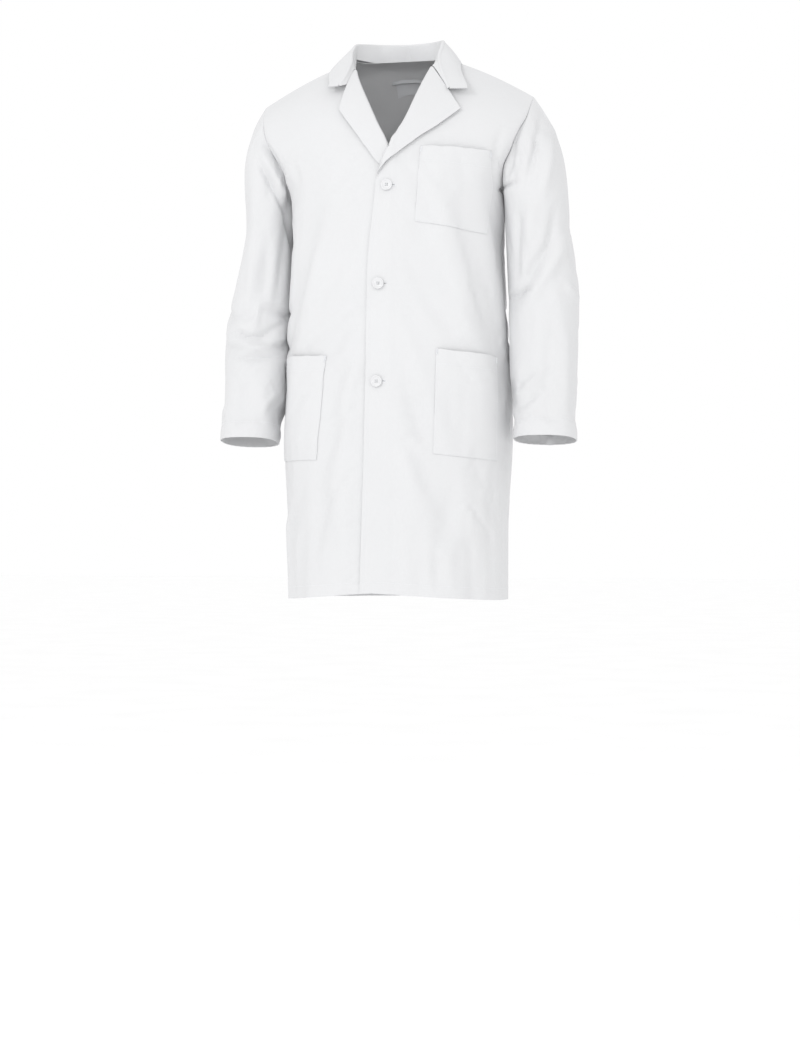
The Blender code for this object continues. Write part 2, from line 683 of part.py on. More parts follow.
# ---------------------------------------------------------------- pockets
def make_pocket(name, side, place):
    """A patch pocket, the band inside its mouth and a bar tack at each of its top corners."""
    inner_top, outer_top, outer_low, inner_low = (Vector(corner) for corner in place)
    height = (inner_top - inner_low).length

    def spot(u, t):
        return inner_low.lerp(outer_low, u).lerp(inner_top.lerp(outer_top, u), t)

    def point(u, t, inside=0.0):
        x, z = spot(u, t)
        mouth = POCKET_MOUTH * math.sin(math.pi * u) ** 0.7 * smooth(0.25, 1, t)
        return front_at(side, x, z, POCKET_OFF + mouth - inside)

    across, up = [0, 0.12, 0.3, 0.5, 0.7, 0.88, 1], [0, 0.2, 0.42, 0.62, 0.8, 0.92, 1]
    grid = grid_of(point, up, across)
    out = outward(side, False, 0.7, 0.5)
    normals = turned_out(grid, normals_of(grid), out)
    sheet(name, grid, normals, 0, CLOTH, COTTON)
    low = 1 - POCKET_HEM / height
    grid = grid_of(
        lambda u, t: point(u, t, 0.0018), [low, (1 + low) / 2, 0.995],
        [0.03, 0.12, 0.3, 0.5, 0.7, 0.88, 0.97],
    )
    normals = turned_out(grid, normals_of(grid), out)
    sheet(f"{name}_mouth_band", grid, normals, 0, CLOTH, COTTON)
    for word, u in (("inner", 0.02), ("outer", 0.98)):
        x, z = spot(u, 1 - 0.004 / height)
        angle, v = on_front(side, x, z)
        out = outward(side, False, angle, v)
        centre = front_at(side, x, z, POCKET_OFF + 0.0024)
        block(f"{name}_bartack_{word}", centre, axes_about(out), BAR_TACK, THREAD)


# ---------------------------------------------------------------- buttons
def make_button(word, z):
    """A button with a raised rim, the thread shank that holds it to the right front, and the
    stitching round its buttonhole in the left front."""
    v = BUTTON_V[word]
    out = outward(-1, False, 0, v)
    surface = off_body(-1, False, 0, v, 0)
    base = surface + out * (LEFT_OVER_RIGHT + BUTTON_STAND)
    r, t = BUTTON_R, BUTTON_T
    lathe(
        f"button_{word}",
        [(0, 0), (r * 0.86, 0), (r, t * 0.45), (r * 0.97, t * 0.85), (r * 0.86, t),
         (r * 0.74, t * 0.85), (r * 0.62, t * 0.55), (0, t * 0.50)],
        base, out, PLASTIC,
    )
    top = LEFT_OVER_RIGHT + BUTTON_STAND - 0.0003
    lathe(
        f"thread_shank_{word}",
        [(0, 0.0003), (SHANK_R * 1.5, 0.0003), (SHANK_R, 0.0010), (SHANK_R, top), (0, top)],
        surface, out, THREAD, 12,
    )
    width = OUTER[False](v)[0] - inner_line(1, False, v)[0]
    back_x = width * math.sin(-BUTTONHOLE_BACK * (math.pi / 2))
    x0, x1 = -ROLL_C * OVERLAP + 0.0003, back_x - 0.0003
    half, wide = BUTTONHOLE_W / 2, BUTTONHOLE_STITCH
    shift = inner_line(1, False, v)[0]
    columns = [x0 - wide, x0, (x0 + x1) / 2, x1, x1 + wide]
    rows = [-half - wide, -half, half, half + wide]
    grid = grid_of(lambda x, up: front_at(1, shift + x, z + up, BUTTONHOLE_OFF), rows, columns)
    normals = turned_out(grid, normals_of(grid), out)
    sheet(
        f"buttonhole_{word}", grid, normals, 0, THREAD_T, THREAD,
        lambda i, j: not (i == 1 and j in (1, 2)),
    )


def hang(word, place, starts):
    """Parents the pieces whose names start like this to an empty on their joint's axis."""
    empty = bpy.data.objects.new(word, None)
    empty.location = place
    bpy.context.scene.collection.objects.link(empty)
    for obj in bpy.data.objects:
        if obj.type == "MESH" and obj.name.startswith(starts):
            obj.parent = empty
            obj.location -= Vector(place)


def main():
    for obj in list(bpy.data.objects):
        bpy.data.objects.remove(obj, do_unlink=True)
    for side, word in ((1, "left"), (-1, "right")):
        make_front(side, word)
        make_back(side, word)
        make_sleeve(side, word)
    make_vent()
    make_neck_facing()
    make_label_and_loop()
    make_collar()
    make_pocket("chest_pocket", 1, CHEST_POCKET)
    make_pocket("lower_pocket_left", 1, LOWER_POCKET_LEFT)
    make_pocket("lower_pocket_right", -1, LOWER_POCKET_RIGHT)
    for word, z in BUTTONS.items():
        make_button(word, z)
    layers = ("front_{}", "front_interlining_{}", "front_facing_{}", "lower_pocket_{}")
    for side, word, fittings in (
        (1, "left", ("chest_pocket", "buttonhole")), (-1, "right", ("button_", "thread_shank"))
    ):
        pieces = tuple(layer.format(word) for layer in layers) + fittings
        x, y, z = FRONT_HINGE
        hang(f"front_{word}_axis", (side * x, y, z), pieces)
        x, y, z = SHOULDER_HINGE
        hang(f"shoulder_{word}_axis", (side * x, y, z), (f"sleeve_{word}", f"cuff_facing_{word}"))


main()
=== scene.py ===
"""The looks of a white lab coat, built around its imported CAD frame. Every panel is a grid laid on
one surface per body part, which a short cloth simulation has settled, so layers stay parallel."""

import json
import math

import bpy
import numpy as np
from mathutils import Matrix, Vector

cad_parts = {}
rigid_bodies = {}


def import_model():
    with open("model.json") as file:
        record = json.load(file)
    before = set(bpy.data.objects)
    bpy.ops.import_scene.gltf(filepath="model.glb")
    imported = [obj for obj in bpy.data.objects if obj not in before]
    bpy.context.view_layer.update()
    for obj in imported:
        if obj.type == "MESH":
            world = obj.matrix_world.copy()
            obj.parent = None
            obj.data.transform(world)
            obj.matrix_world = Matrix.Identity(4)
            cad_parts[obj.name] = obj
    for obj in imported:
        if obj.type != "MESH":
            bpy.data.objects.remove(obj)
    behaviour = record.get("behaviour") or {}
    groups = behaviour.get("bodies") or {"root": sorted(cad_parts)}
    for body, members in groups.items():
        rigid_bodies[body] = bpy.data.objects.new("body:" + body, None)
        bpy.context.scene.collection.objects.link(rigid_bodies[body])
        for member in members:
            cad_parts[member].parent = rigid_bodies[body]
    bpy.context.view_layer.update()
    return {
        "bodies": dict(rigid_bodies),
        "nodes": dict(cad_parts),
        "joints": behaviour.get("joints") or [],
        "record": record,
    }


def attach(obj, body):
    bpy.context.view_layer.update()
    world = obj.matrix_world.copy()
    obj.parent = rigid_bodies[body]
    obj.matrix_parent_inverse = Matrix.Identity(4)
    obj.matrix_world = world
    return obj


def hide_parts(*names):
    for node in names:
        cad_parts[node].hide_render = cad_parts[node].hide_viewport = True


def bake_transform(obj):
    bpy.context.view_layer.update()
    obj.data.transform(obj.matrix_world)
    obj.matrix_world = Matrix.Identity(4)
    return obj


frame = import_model()

# ---------------------------------------------------------------- sizes, in metres
# A panel's v goes from 0 at the hem to 1 at the shoulder seam. A column c of a front goes from -1
# at the side seam over 0 at the centre to 1 at the free edge. A place w of the collar goes from 0
# at the back to 1 or -1 at its two ends.
CLOTH = 0.0006
LAYER = 0.0007  # from one layer of cloth to the next
LEFT_OVER_RIGHT = 0.0032
OVERLAP = 0.020
ROUND = 2.25  # the exponent of a panel's cross-section: 2 is an ellipse
V_LENGTH, PANEL_WIDTH = 0.95, 0.28
BODY_HALF = 0.19
SLEEVE_LENGTH = 0.60
ARMPIT_V, BREAK_V, GORGE_V, NECK_V = 0.70, 0.765, 0.955, 0.893
FOLD_FOOT, FOLD_TOP = 0.712, 0.776  # the roll line leaves the free edge and meets the centre
ROLL_C, NOTCH_C = 0.15, 0.515
COLLAR_ASIDE, COLLAR_TILT = 0.0165, 0.006
HEM, CUFF_HEM, POCKET_HEM = 0.019, 0.026, 0.025
STITCH, STITCH_PITCH, THREAD_R = 0.0023, 0.0031, 0.00024
# A stitch's rings: the place along it, from -1 to 1, its width and its rise, both per THREAD_R.
BEAD = [
    (-1.05, 0.30, -0.9), (-0.75, 0.95, 0.1), (0, 1.05, 0.5), (0.75, 0.95, 0.1), (1.05, 0.30, -0.9)
]
BEAD_SIDES = 6
BUTTON_R, BUTTON_T, BUTTON_STAND = 0.0100, 0.0030, 0.0012
BUTTONHOLE = (-0.0027, 0.0145)
ROLL_R = 0.0024
LAPEL_BELLY, LAPEL_SINK = 0.0022, 0.0012
OVER_LAPEL = 0.0030  # the left front bulges this much over the right lapel's lower end
SHOULDER_RISE, CENTRE_SOFT, SLEEVE_ROUND = 0.006, 0.14, 0.86
SEAM_DIP, SEAM_WIDE = 0.0008, 0.0016
PITCH, FOLD_PITCH = 0.0045, 0.0018
FACING_C = -0.30
EDGE = math.pi / 2 - 0.02  # as near to the side seam as a normal is taken

# The curves' rows. Each starts with its place: v, the collar's w, or how far down the sleeve.
# Then come x, y and z, on the wearer's left. TWIST has an x alone, which moves the front middle
# to one side, and LAPEL_EDGE x and z. COLLAR has the roll's point, then the outer edge's. SLEEVE
# has its middle's x and y, its half width, its half depth and its lean.
SIDE = [
    (0.000, 0.1935, 0.004, -0.940), (0.140, 0.1925, 0.004, -0.800), (0.290, 0.1985, 0.003, -0.650),
    (0.440, 0.1945, 0.002, -0.500), (0.545, 0.1885, 0.001, -0.395), (0.640, 0.1860, 0.001, -0.300),
    (ARMPIT_V, 0.1865, 0.000, -0.245),
]
ARM_FRONT = SIDE + [
    (0.780, 0.1925, -0.046, -0.205), (0.860, 0.2170, -0.052, -0.160),
    (0.935, 0.2345, -0.035, -0.112), (1.000, 0.2390, 0.000, -0.075),
]
ARM_BACK = SIDE + [
    (0.780, 0.1900, 0.054, -0.205), (0.860, 0.2060, 0.062, -0.155),
    (0.935, 0.2260, 0.044, -0.108), (1.000, 0.2390, 0.000, -0.075),
]
FRONT_MIDDLE = [
    (0.000, 0.000, -0.150, -0.928), (0.290, 0.000, -0.150, -0.648),
    (0.440, 0.000, -0.146, -0.500), (0.545, 0.000, -0.141, -0.395),
    (0.640, 0.000, -0.136, -0.300), (ARMPIT_V, 0.000, -0.131, -0.243),
    (BREAK_V, 0.001, -0.122, -0.183), (0.830, 0.027, -0.106, -0.128),
    (0.890, 0.048, -0.083, -0.080),
    (GORGE_V, 0.0690, -0.042, -0.029), (1.000, 0.0770, 0.000, 0.000),
]
BACK_MIDDLE = [
    (0.000, 0.000, 0.166, -0.940), (0.290, 0.000, 0.156, -0.650), (0.440, 0.000, 0.143, -0.500),
    (0.545, 0.000, 0.137, -0.395), (0.640, 0.000, 0.140, -0.300), (ARMPIT_V, 0.000, 0.143, -0.240),
    (0.780, 0.000, 0.141, -0.150), (0.850, 0.000, 0.122, -0.060), (NECK_V, 0.000, 0.090, -0.004),
    (0.909, 0.024, 0.0855, -0.002), (0.945, 0.050, 0.062, 0.003), (1.000, 0.0770, 0.000, 0.000),
]
TWIST = [
    (0, -0.012), (0.39, -0.002), (0.56, -0.001), (0.70, 0.011), (BREAK_V, 0.013), (0.83, 0.012),
    (0.89, 0.007), (GORGE_V, 0.001), (1, 0),
]
LAPEL_EDGE = {
    1: [
        (FOLD_FOOT, -0.0200, -0.2300), (0.722, -0.0185, -0.2250), (0.735, -0.0150, -0.2170),
        (0.750, -0.0095, -0.2085), (0.765, -0.0020, -0.1995), (0.780, 0.0075, -0.1910),
        (0.800, 0.020, -0.1810), (0.840, 0.047, -0.160), (0.900, 0.091, -0.133),
        (GORGE_V, 0.126, -0.108),
    ],
    -1: [
        (FOLD_FOOT, -0.0200, -0.2300), (0.735, -0.0055, -0.2155), (0.750, 0.0040, -0.2090),
        (0.765, 0.0145, -0.2030), (0.780, 0.0250, -0.1930), (0.800, 0.037, -0.177),
        (0.840, 0.055, -0.151), (0.900, 0.073, -0.122), (GORGE_V, 0.084, -0.102),
    ],
}
SHOULDER_W, GORGE_W = 0.58, 0.84
COLLAR = [
    (0.00, 0, 0.084, 0.040, 0, 0.1195, -0.030),
    (0.30, 0.043, 0.070, 0.039, 0.072, 0.0985, -0.022),
    (0.58, 0.0780, 0.010, 0.030, 0.108, 0.028, -0.0105),
    (0.72, 0.0800, -0.014, 0.014, 0.113, -0.010, -0.0155),
    (GORGE_W, 0.0760, -0.040, -0.012, 0.1180, -0.046, -0.0400),
    (0.93, 0.0810, -0.064, -0.039, 0.1205, -0.067, -0.0545),
    (1.00, 0.0905, -0.080, -0.0625, 0.1225, -0.079, -0.065),
]
SLEEVE = {
    1: [
        (0.300, 0.2450, 0.006, 0.0530, 0.0620, 0.00), (0.400, 0.2570, 0.009, 0.0590, 0.0590, 0.00),
        (0.480, 0.2590, 0.000, 0.0585, 0.0570, 0.08), (0.580, 0.2630, -0.020, 0.0560, 0.0530, 0.14),
        (0.668, 0.2670, -0.046, 0.0535, 0.0500, 0.14),
    ],
    -1: [
        (0.300, 0.2330, 0.010, 0.0410, 0.0690, 0.00), (0.350, 0.2390, 0.010, 0.0465, 0.0660, 0.00),
        (0.400, 0.2465, 0.010, 0.0525, 0.0620, 0.00), (0.480, 0.2560, 0.000, 0.0575, 0.0575, 0.08),
        (0.580, 0.2545, -0.020, 0.0550, 0.0540, 0.14),
        (0.668, 0.2560, -0.046, 0.0500, 0.0530, 0.14),
    ],
}
CAP, CUFF = 0.42, 0.668
SIDES = ((1, "left"), (-1, "right"))  # the wearer's
# A pocket's corners, each as its distance from the middle and its z: the inner top one, the
# outer top, the outer bottom and the inner bottom one.
CHEST_POCKET = ((0.0655, -0.172), (0.1820, -0.180), (0.1690, -0.318), (0.0590, -0.300))
LOWER_POCKET = {  # by side
    1: ((0.0960, -0.515), (0.1870, -0.526), (0.1860, -0.702), (0.0920, -0.692)),
    -1: ((0.0975, -0.524), (0.1880, -0.522), (0.1900, -0.701), (0.1180, -0.701)),
}
BUTTONS = {"top": -0.239, "middle": -0.406, "bottom": -0.571}


# ---------------------------------------------------------------- curves
BLUR, CURVE_STEPS = 0.02, 800


def smooth(low, high, x):
    t = np.clip((np.asarray(x, float) - low) / (high - low), 0, 1)
    return t * t * (3 - 2 * t)


def read_at(x, places, rows):
    """The values at x of rows that are known at these places."""
    return np.stack([np.interp(x, places, column) for column in rows.T], axis=-1)


def through(rows, blur=0.0):
    """A smooth curve through rows (place, values...), as a function that takes arrays. blur
    rounds it off over this much of its length."""
    rows = np.array(rows, float)
    at, values = rows[:, 0], rows[:, 1:]
    slopes = np.diff(values, axis=0) / np.diff(at)[:, None]
    inner = np.zeros_like(values[1:-1])
    same = slopes[:-1] * slopes[1:] > 0
    inner[same] = 2 / (1 / slopes[:-1][same] + 1 / slopes[1:][same])
    tangents = np.vstack([slopes[:1], inner, slopes[-1:]])
    places = np.linspace(at[0], at[-1], CURVE_STEPS + 1)
    i = np.clip(np.searchsorted(at, places, side="right") - 1, 0, len(at) - 2)
    step = (at[i + 1] - at[i])[:, None]
    t = ((places - at[i])[:, None]) / step
    table = (
        (1 + 2 * t) * (1 - t) ** 2 * values[i] + t * (1 - t) ** 2 * step * tangents[i]
        + t * t * (3 - 2 * t) * values[i + 1] + t * t * (t - 1) * step * tangents[i + 1]
    )
    if blur:
        reach = int(blur / (at[-1] - at[0]) * CURVE_STEPS)
        kernel = np.exp(-0.5 * (np.arange(-2 * reach, 2 * reach + 1) / (reach / 1.5)) ** 2)
        kernel /= kernel.sum()
        pad = 2 * reach
        low = 2 * table[0] - table[pad:0:-1]
        high = 2 * table[-1] - table[-2 : -pad - 2 : -1]
        padded = np.vstack([low, table, high])
        table = np.stack([np.convolve(c, kernel, "valid") for c in padded.T], axis=1)

    def curve(x):
        return read_at(np.asarray(x, float), places, table)

    return curve


INNER = {False: through(FRONT_MIDDLE, BLUR), True: through(BACK_MIDDLE, BLUR)}
OUTER = {False: through(ARM_FRONT, BLUR), True: through(ARM_BACK, BLUR)}
twist = through(TWIST, 0.04)
lapel_edge = {side: through(rows) for side, rows in LAPEL_EDGE.items()}
collar_lines = through(COLLAR, 0.03)
sleeve_line = {side: through(rows, 0.03) for side, rows in SLEEVE.items()}


def arrays(*values):
    """Numbers or arrays, as arrays of one common shape."""
    return np.broadcast_arrays(*[np.asarray(value, float) for value in values])


def stacked(*parts):
    return np.stack(parts, axis=-1)


def unit(vectors):
    return vectors / np.maximum(np.linalg.norm(vectors, axis=-1, keepdims=True), 1e-12)


# ---------------------------------------------------------------- the body's and sleeves' surfaces
def inner_line(side, back, v):
    line = INNER[back](v)
    if not back:
        line[..., 0] += side * twist(v)[..., 0]
    return line


def shoulder_rise(across, v):
    """How far the cloth arches up between the neck and the sleeve."""
    return SHOULDER_RISE * smooth(0.8, 1, v) * np.sin(math.pi * np.clip(np.abs(across), 0, 1))


def plain_body(side, back, angle, v):
    """A point of the body's surface before it has settled. side is 1 on the wearer's left;
    angle is 0 at the inner line and 90 degrees at the side seam; v is 0 at the hem and 1 at the
    shoulder seam."""
    angle, v = arrays(angle, v)
    inner, outer = inner_line(side, back, v), OUTER[back](v)
    across = np.sin(angle)
    depth = np.maximum(1 - np.abs(across) ** ROUND, 0) ** (1 / ROUND)
    outward = np.abs(across)
    if back:  # the seam down the middle lies flat, with no ridge
        soft = CENTRE_SOFT * (1 - smooth(0.93, 1, v))
        outward = (np.hypot(across, soft) - soft) / (np.hypot(1, soft) - soft)
    return stacked(
        side * (inner[..., 0] + (outer[..., 0] - inner[..., 0]) * across),
        outer[..., 1] + (inner[..., 1] - outer[..., 1]) * depth,
        inner[..., 2] + (outer[..., 2] - inner[..., 2]) * outward + shoulder_rise(across, v),
    )


def plain_sleeve(side, turn, row):
    """A point of the sleeve before it has settled: turn goes from -1 at the armpit over the
    front, the shoulder (0) and the back to 1, and row from 0 at the armhole to 1 at the cuff."""
    turn, row = arrays(turn, row)
    first = SLEEVE[side][0][0]
    down = first + (CUFF - first) * np.clip((row - CAP) / (1 - CAP), -0.05, 1.02)

    def ring(down):
        line = sleeve_line[side](down)
        angle = math.pi * turn
        across, ahead = np.cos(angle), np.sin(angle)
        away = line[..., 3] * np.sign(ahead) * np.abs(ahead) ** SLEEVE_ROUND
        across = np.sign(across) * np.abs(across) ** SLEEVE_ROUND
        x, y = line[..., 0] + line[..., 2] * across, line[..., 1] + away
        return stacked(x, y, -down - line[..., 4] * away)

    arm = ring(down)
    v = 1 - (1 - ARMPIT_V) * np.clip(np.abs(turn), 0, 1)
    start = np.where((turn > 0)[..., None], OUTER[True](v), OUTER[False](v))
    top = (1 + np.cos(math.pi * turn)) / 2
    ahead = unit(stacked(0.10 + 0.45 * top, 0.35 * np.sin(math.pi * turn), -1 + 0.20 * top))
    end = ring(np.full(turn.shape, first))
    reach = np.linalg.norm(end - start, axis=-1, keepdims=True) * 0.42
    t = np.clip(row / CAP, 0, 1)[..., None]
    cap = (
        start * (1 - t) ** 3
        + (start + ahead * reach) * 3 * t * (1 - t) ** 2
        + (end + np.array([0, 0, 1]) * reach) * 3 * t * t * (1 - t)
        + end * t**3
    )
    point = np.where((row < CAP)[..., None], cap, arm)
    return point * np.array([side, 1, 1])


# ---------------------------------------------------------------- the folds
# The folds by the direction they are seen from, in degrees to the wearer's left of straight
# ahead. Each is its half width and how far it stands out, then the (across, z) points of its path
# as seen from there, all in millimetres.
FOLDS = {
    13: [
        # the right sleeve: creases from the armhole's front, then the elbow's and the forearm's
        (4.7, -6.8, (-249, -171), (-219, -225), (-190, -282)),
        (6.5, 7.8, (-246, -150), (-220, -195), (-190, -252)),
        (4, -5.1, (-236, -140), (-214, -178), (-192, -220)),
        (4.7, -7.8, (-196, -262), (-190, -300), (-184, -335)),
        (10.2, 6.2, (-252, -320), (-256, -380), (-264, -440)),
        (8.5, -4.5, (-228, -300), (-232, -370), (-236, -430)),
        (5.8, 6, (-243, -425), (-253, -472)),
        (5, -8.5, (-305, -466), (-250, -484), (-196, -455)),
        (6.5, 8.5, (-305, -488), (-250, -503), (-196, -482)),
        (5, -6.8, (-305, -514), (-250, -521), (-196, -516)),
        (11, -4.5, (-262, -545), (-272, -640)),
        (11, 4.5, (-234, -550), (-232, -650)),
        # the left sleeve: the cap's upright folds, the long one to the inner elbow, the forearm's
        (4.3, -6, (219, -120), (199, -171), (185, -225)),
        (3.6, -6, (168, -240), (202, -227)),
        (6.1, -7.8, (246, -110), (232, -178), (217, -240)),
        (9.3, 8.1, (263, -120), (256, -191), (244, -262)),
        (9.3, 6.2, (226, -262), (221, -345)),
        (5.8, -6, (206, -270), (204, -350), (206, -400)),
        (8.5, -10.7, (270, -262), (259, -325), (232, -372), (194, -438)),
        (10.2, 8.8, (292, -312), (270, -358), (239, -405), (205, -458)),
        (4, -7.8, (190, -424), (230, -406)),
        (4.7, -6.8, (288, -330), (311, -385)),
        (5.8, 6, (284, -400), (312, -425)),
        (5, 6, (195, -597), (250, -547)),
        (5.4, -6, (198, -618), (256, -568)),
        (12.7, -5.3, (260, -450), (251, -640)),
        (10.2, 4.5, (288, -470), (284, -650)),
        # the fronts: drags from the middle button, soft upright folds and the skirt's flare
        (10, 3.5, (-45, -413), (-106, -460), (-165, -506)),
        (15, -4.3, (-45, -438), (-100, -493), (-152, -540)),
        (12, 4.6, (-54, -505), (-83, -584), (-100, -680)),
        (22, -5.8, (-100, -520), (-119, -662), (-152, -870)),
        (20, 4.6, (-110, -690), (-80, -910)),
        (16, 3.2, (-128, -310), (-160, -450)),
        (18, -2.6, (-150, -215), (-120, -300)),
        (16, -5.8, (-3, -495), (24, -597), (46, -690)),
        (22, 5.1, (-18, -580), (24, -728), (63, -905)),
        (13, -3.5, (40, -420), (105, -505)),
        (13, 3.2, (80, -425), (134, -505)),
        (8.5, -4.9, (152, -262), (170, -320), (178, -395)),
        (7.5, -3.5, (176, -135), (160, -210)),
        (8.5, -5.2, (62, -835), (67, -938)),
        (11, 4.9, (84, -830), (91, -938)),
        (16, -4.9, (169, -715), (160, -870)),
        (18, -4.1, (94, -745), (74, -850)),
    ],
    180: [
        # the back and the sleeves' outsides, as cloth that hangs from the shoulder blades does
        (15, -5.8, (-150, -215), (-80, -330), (-40, -440)),
        (15, -5.2, (150, -215), (80, -335), (45, -450)),
        (20, 5.8, (-110, -215), (-120, -420), (-100, -600)),
        (20, 5.2, (105, -230), (125, -430), (110, -620)),
        (22, -7.2, (-70, -520), (-95, -740), (-125, -935)),
        (22, -7, (60, -560), (90, -760), (115, -935)),
        (18, 5.2, (-45, -640), (-50, -930)),
        (18, 4.9, (40, -660), (50, -930)),
    ],
    100: [
        (8, -6.5, (-30, -420), (20, -445), (55, -430)),
        (9, -5.8, (-40, -480), (5, -500), (45, -470)),
        (14, -4.3, (0, -170), (15, -300)),
    ],
    -80: [
        (8, -6.5, (40, -430), (-5, -450), (-50, -425)),
        (9, -5.8, (50, -490), (0, -505), (-40, -480)),
        (14, -4.3, (0, -180), (-12, -300)),
    ],
}
HEM_WAVES = [(11, 0.0, 0.0028), (23, 1.9, 0.0012)]  # waves round half the hem, phase, height
CAP_PUCKER, CAP_WAVES = 0.0007, 17  # the little gathers along the armhole seam
FOLD_STEPS = 59


def relief(point, normal):
    """How far the folds raise the cloth at these points."""
    height = np.zeros(point.shape[:-1])
    for view, folds in FOLDS.items():
        turn = math.radians(view)
        right = np.array([math.cos(turn), math.sin(turn), 0])
        toward = np.array([math.sin(turn), -math.cos(turn), 0])
        facing = smooth(-0.25, 0.35, normal @ toward)
        seen = stacked(point @ right, point[..., 2])
        for width, depth, *path in folds:
            width, depth, path = width / 1000, depth / 1000, np.array(path) / 1000
            places = np.linspace(0, len(path) - 1, FOLD_STEPS + 1)
            line = through([(k, *p) for k, p in enumerate(path)])(places)
            near = np.all(seen > line.min(0) - 3 * width, axis=-1)
            near &= np.all(seen < line.max(0) + 3 * width, axis=-1) & (facing > 0)
            if not near.any():
                continue
            apart = np.linalg.norm(seen[near][:, None] - line, axis=2)
            share = apart.argmin(axis=1) / FOLD_STEPS
            taper = np.sin(math.pi * np.clip(share, 0.02, 0.98)) ** 0.8
            crest = np.exp(-((apart.min(axis=1) / width) ** 2))
            height[near] += depth * facing[near] * taper * crest
    return height


class Field:
    """Movements known on a regular grid over two parameters, and smooth between its points."""

    def __init__(self, low, high, values):
        self.low, self.high = np.array(low, float), np.array(high, float)
        self.values = values

    def __call__(self, a, b):
        counts = np.array(self.values.shape[:2])
        place = [
            np.clip((np.asarray(x, float) - lo) / (hi - lo), 0, 1) * (n - 1)
            for x, lo, hi, n in zip((a, b), self.low, self.high, counts)
        ]
        base = [np.clip(np.floor(p).astype(int), 0, n - 2) for p, n in zip(place, counts)]

        def weights(t):
            return (
                -0.5 * t + t * t - 0.5 * t**3,
                1 - 2.5 * t * t + 1.5 * t**3,
                0.5 * t + 2 * t * t - 1.5 * t**3,
                -0.5 * t * t + 0.5 * t**3,
            )

        wa, wb = (weights(p - f) for p, f in zip(place, base))
        result = 0
        for i in range(4):
            ia = np.clip(base[0] + i - 1, 0, counts[0] - 1)
            for j in range(4):
                jb = np.clip(base[1] + j - 1, 0, counts[1] - 1)
                result = result + (wa[i] * wb[j])[..., None] * self.values[ia, jb]
        return result


def grid_normals(grid, toward=None):
    """The unit normals of a grid of points. All are turned over if the one at the first row and
    column doesn't point toward this direction."""
    normal = unit(np.cross(np.gradient(grid, axis=1), np.gradient(grid, axis=0)))
    if toward is not None and np.dot(normal[0, 0], toward) < 0:
        return -normal
    return normal


CLOTH_FRAMES = 22
CLOTH_SETTINGS = {
    "quality": 6, "mass": 0.12, "tension_stiffness": 12, "compression_stiffness": 12,
    "shear_stiffness": 5, "bending_stiffness": 0.12, "shrink_min": -0.014, "pin_stiffness": 1.0,
}
CLOTH_GRAVITY = 0.12  # the wearer's body carries the rest of the weight
LOOSE = 0.09  # how firmly loose cloth is kept in place
SLACK_OUT, SLACK_IN, SLACK_ALONG = 0.0055, 0.0040, 0.0020


def simulate(points, faces, hold):
    """Lets slack cloth of this shape settle and returns how far each point moved. hold is how
    firmly each point is kept where it is, from 0 to 1."""
    mesh = bpy.data.meshes.new("slack_cloth")
    mesh.from_pydata(points.tolist(), [], faces.tolist())
    piece = bpy.data.objects.new("slack_cloth", mesh)
    bpy.context.scene.collection.objects.link(piece)
    group = piece.vertex_groups.new(name="held")
    levels = np.round(hold, 2)
    for level in np.unique(levels):
        group.add(np.flatnonzero(levels == level).tolist(), float(level), "REPLACE")
    settling = piece.modifiers.new("settling", "CLOTH")
    for name, value in CLOTH_SETTINGS.items():
        setattr(settling.settings, name, value)
    settling.settings.vertex_group_mass = group.name
    settling.collision_settings.use_collision = False
    settling.settings.effector_weights.gravity = CLOTH_GRAVITY
    settling.point_cache.frame_end = CLOTH_FRAMES
    for frame in range(1, CLOTH_FRAMES + 1):
        bpy.context.scene.frame_set(frame)
    settled_mesh = piece.evaluated_get(bpy.context.evaluated_depsgraph_get()).data
    moved = np.empty(points.size)
    settled_mesh.vertices.foreach_get("co", moved)
    bpy.data.objects.remove(piece, do_unlink=True)
    bpy.data.meshes.remove(mesh)
    bpy.context.scene.frame_set(1)
    return moved.reshape(-1, 3) - points


def welded(grids, holds):
    """One mesh of several grids of points, joined where their points meet."""
    points = np.concatenate([g.reshape(-1, 3) for g in grids])
    hold = np.concatenate([h.reshape(-1) for h in holds])
    faces, first = [], 0
    for grid in grids:
        high, wide = grid.shape[:2]
        at = first + np.arange(high * wide).reshape(high, wide)
        cells = stacked(at[:-1, :-1], at[:-1, 1:], at[1:, 1:], at[1:, :-1])
        faces.append(cells.reshape(-1, 4))
        first += high * wide
    _, one, where = np.unique(np.round(points, 5), axis=0, return_index=True, return_inverse=True)
    where = where.reshape(-1)
    return points[one], where[np.concatenate(faces)], hold[one], where


def limited(move, normal):
    """The movement with its part across the cloth kept within SLACK_IN and SLACK_OUT."""
    across = np.sum(move * normal, axis=-1, keepdims=True)
    along = move - normal * across
    length = np.maximum(np.linalg.norm(along, axis=-1, keepdims=True), 1e-9)
    along = along * SLACK_ALONG * np.tanh(length / SLACK_ALONG / 4) / length
    return along + normal * np.where(
        across > 0, SLACK_OUT * np.tanh(across / SLACK_OUT), SLACK_IN * np.tanh(across / SLACK_IN)
    )


def panel_grid(side, back, rows, turns):
    """A grid on a panel before it has settled, as (v, angle, points, normals)."""
    v, angle = np.linspace(0, 1, rows)[:, None], np.linspace(0, math.pi / 2, turns)[None]
    inside = plain_body(side, back, np.minimum(angle, EDGE), v)
    normals = grid_normals(inside, (0, 1 if back else -1, 0))
    return v, angle, plain_body(side, back, angle, v), normals


def sleeve_grid(side, rows, turns):
    """A grid on a sleeve before it has settled, as (row, turn, points, normals)."""
    row, turn = np.linspace(0, 1, rows)[:, None], np.linspace(-1, 1, turns)[None]
    points = plain_sleeve(side, turn, row)
    return row, turn, points, grid_normals(points, (-side, 0, 0))


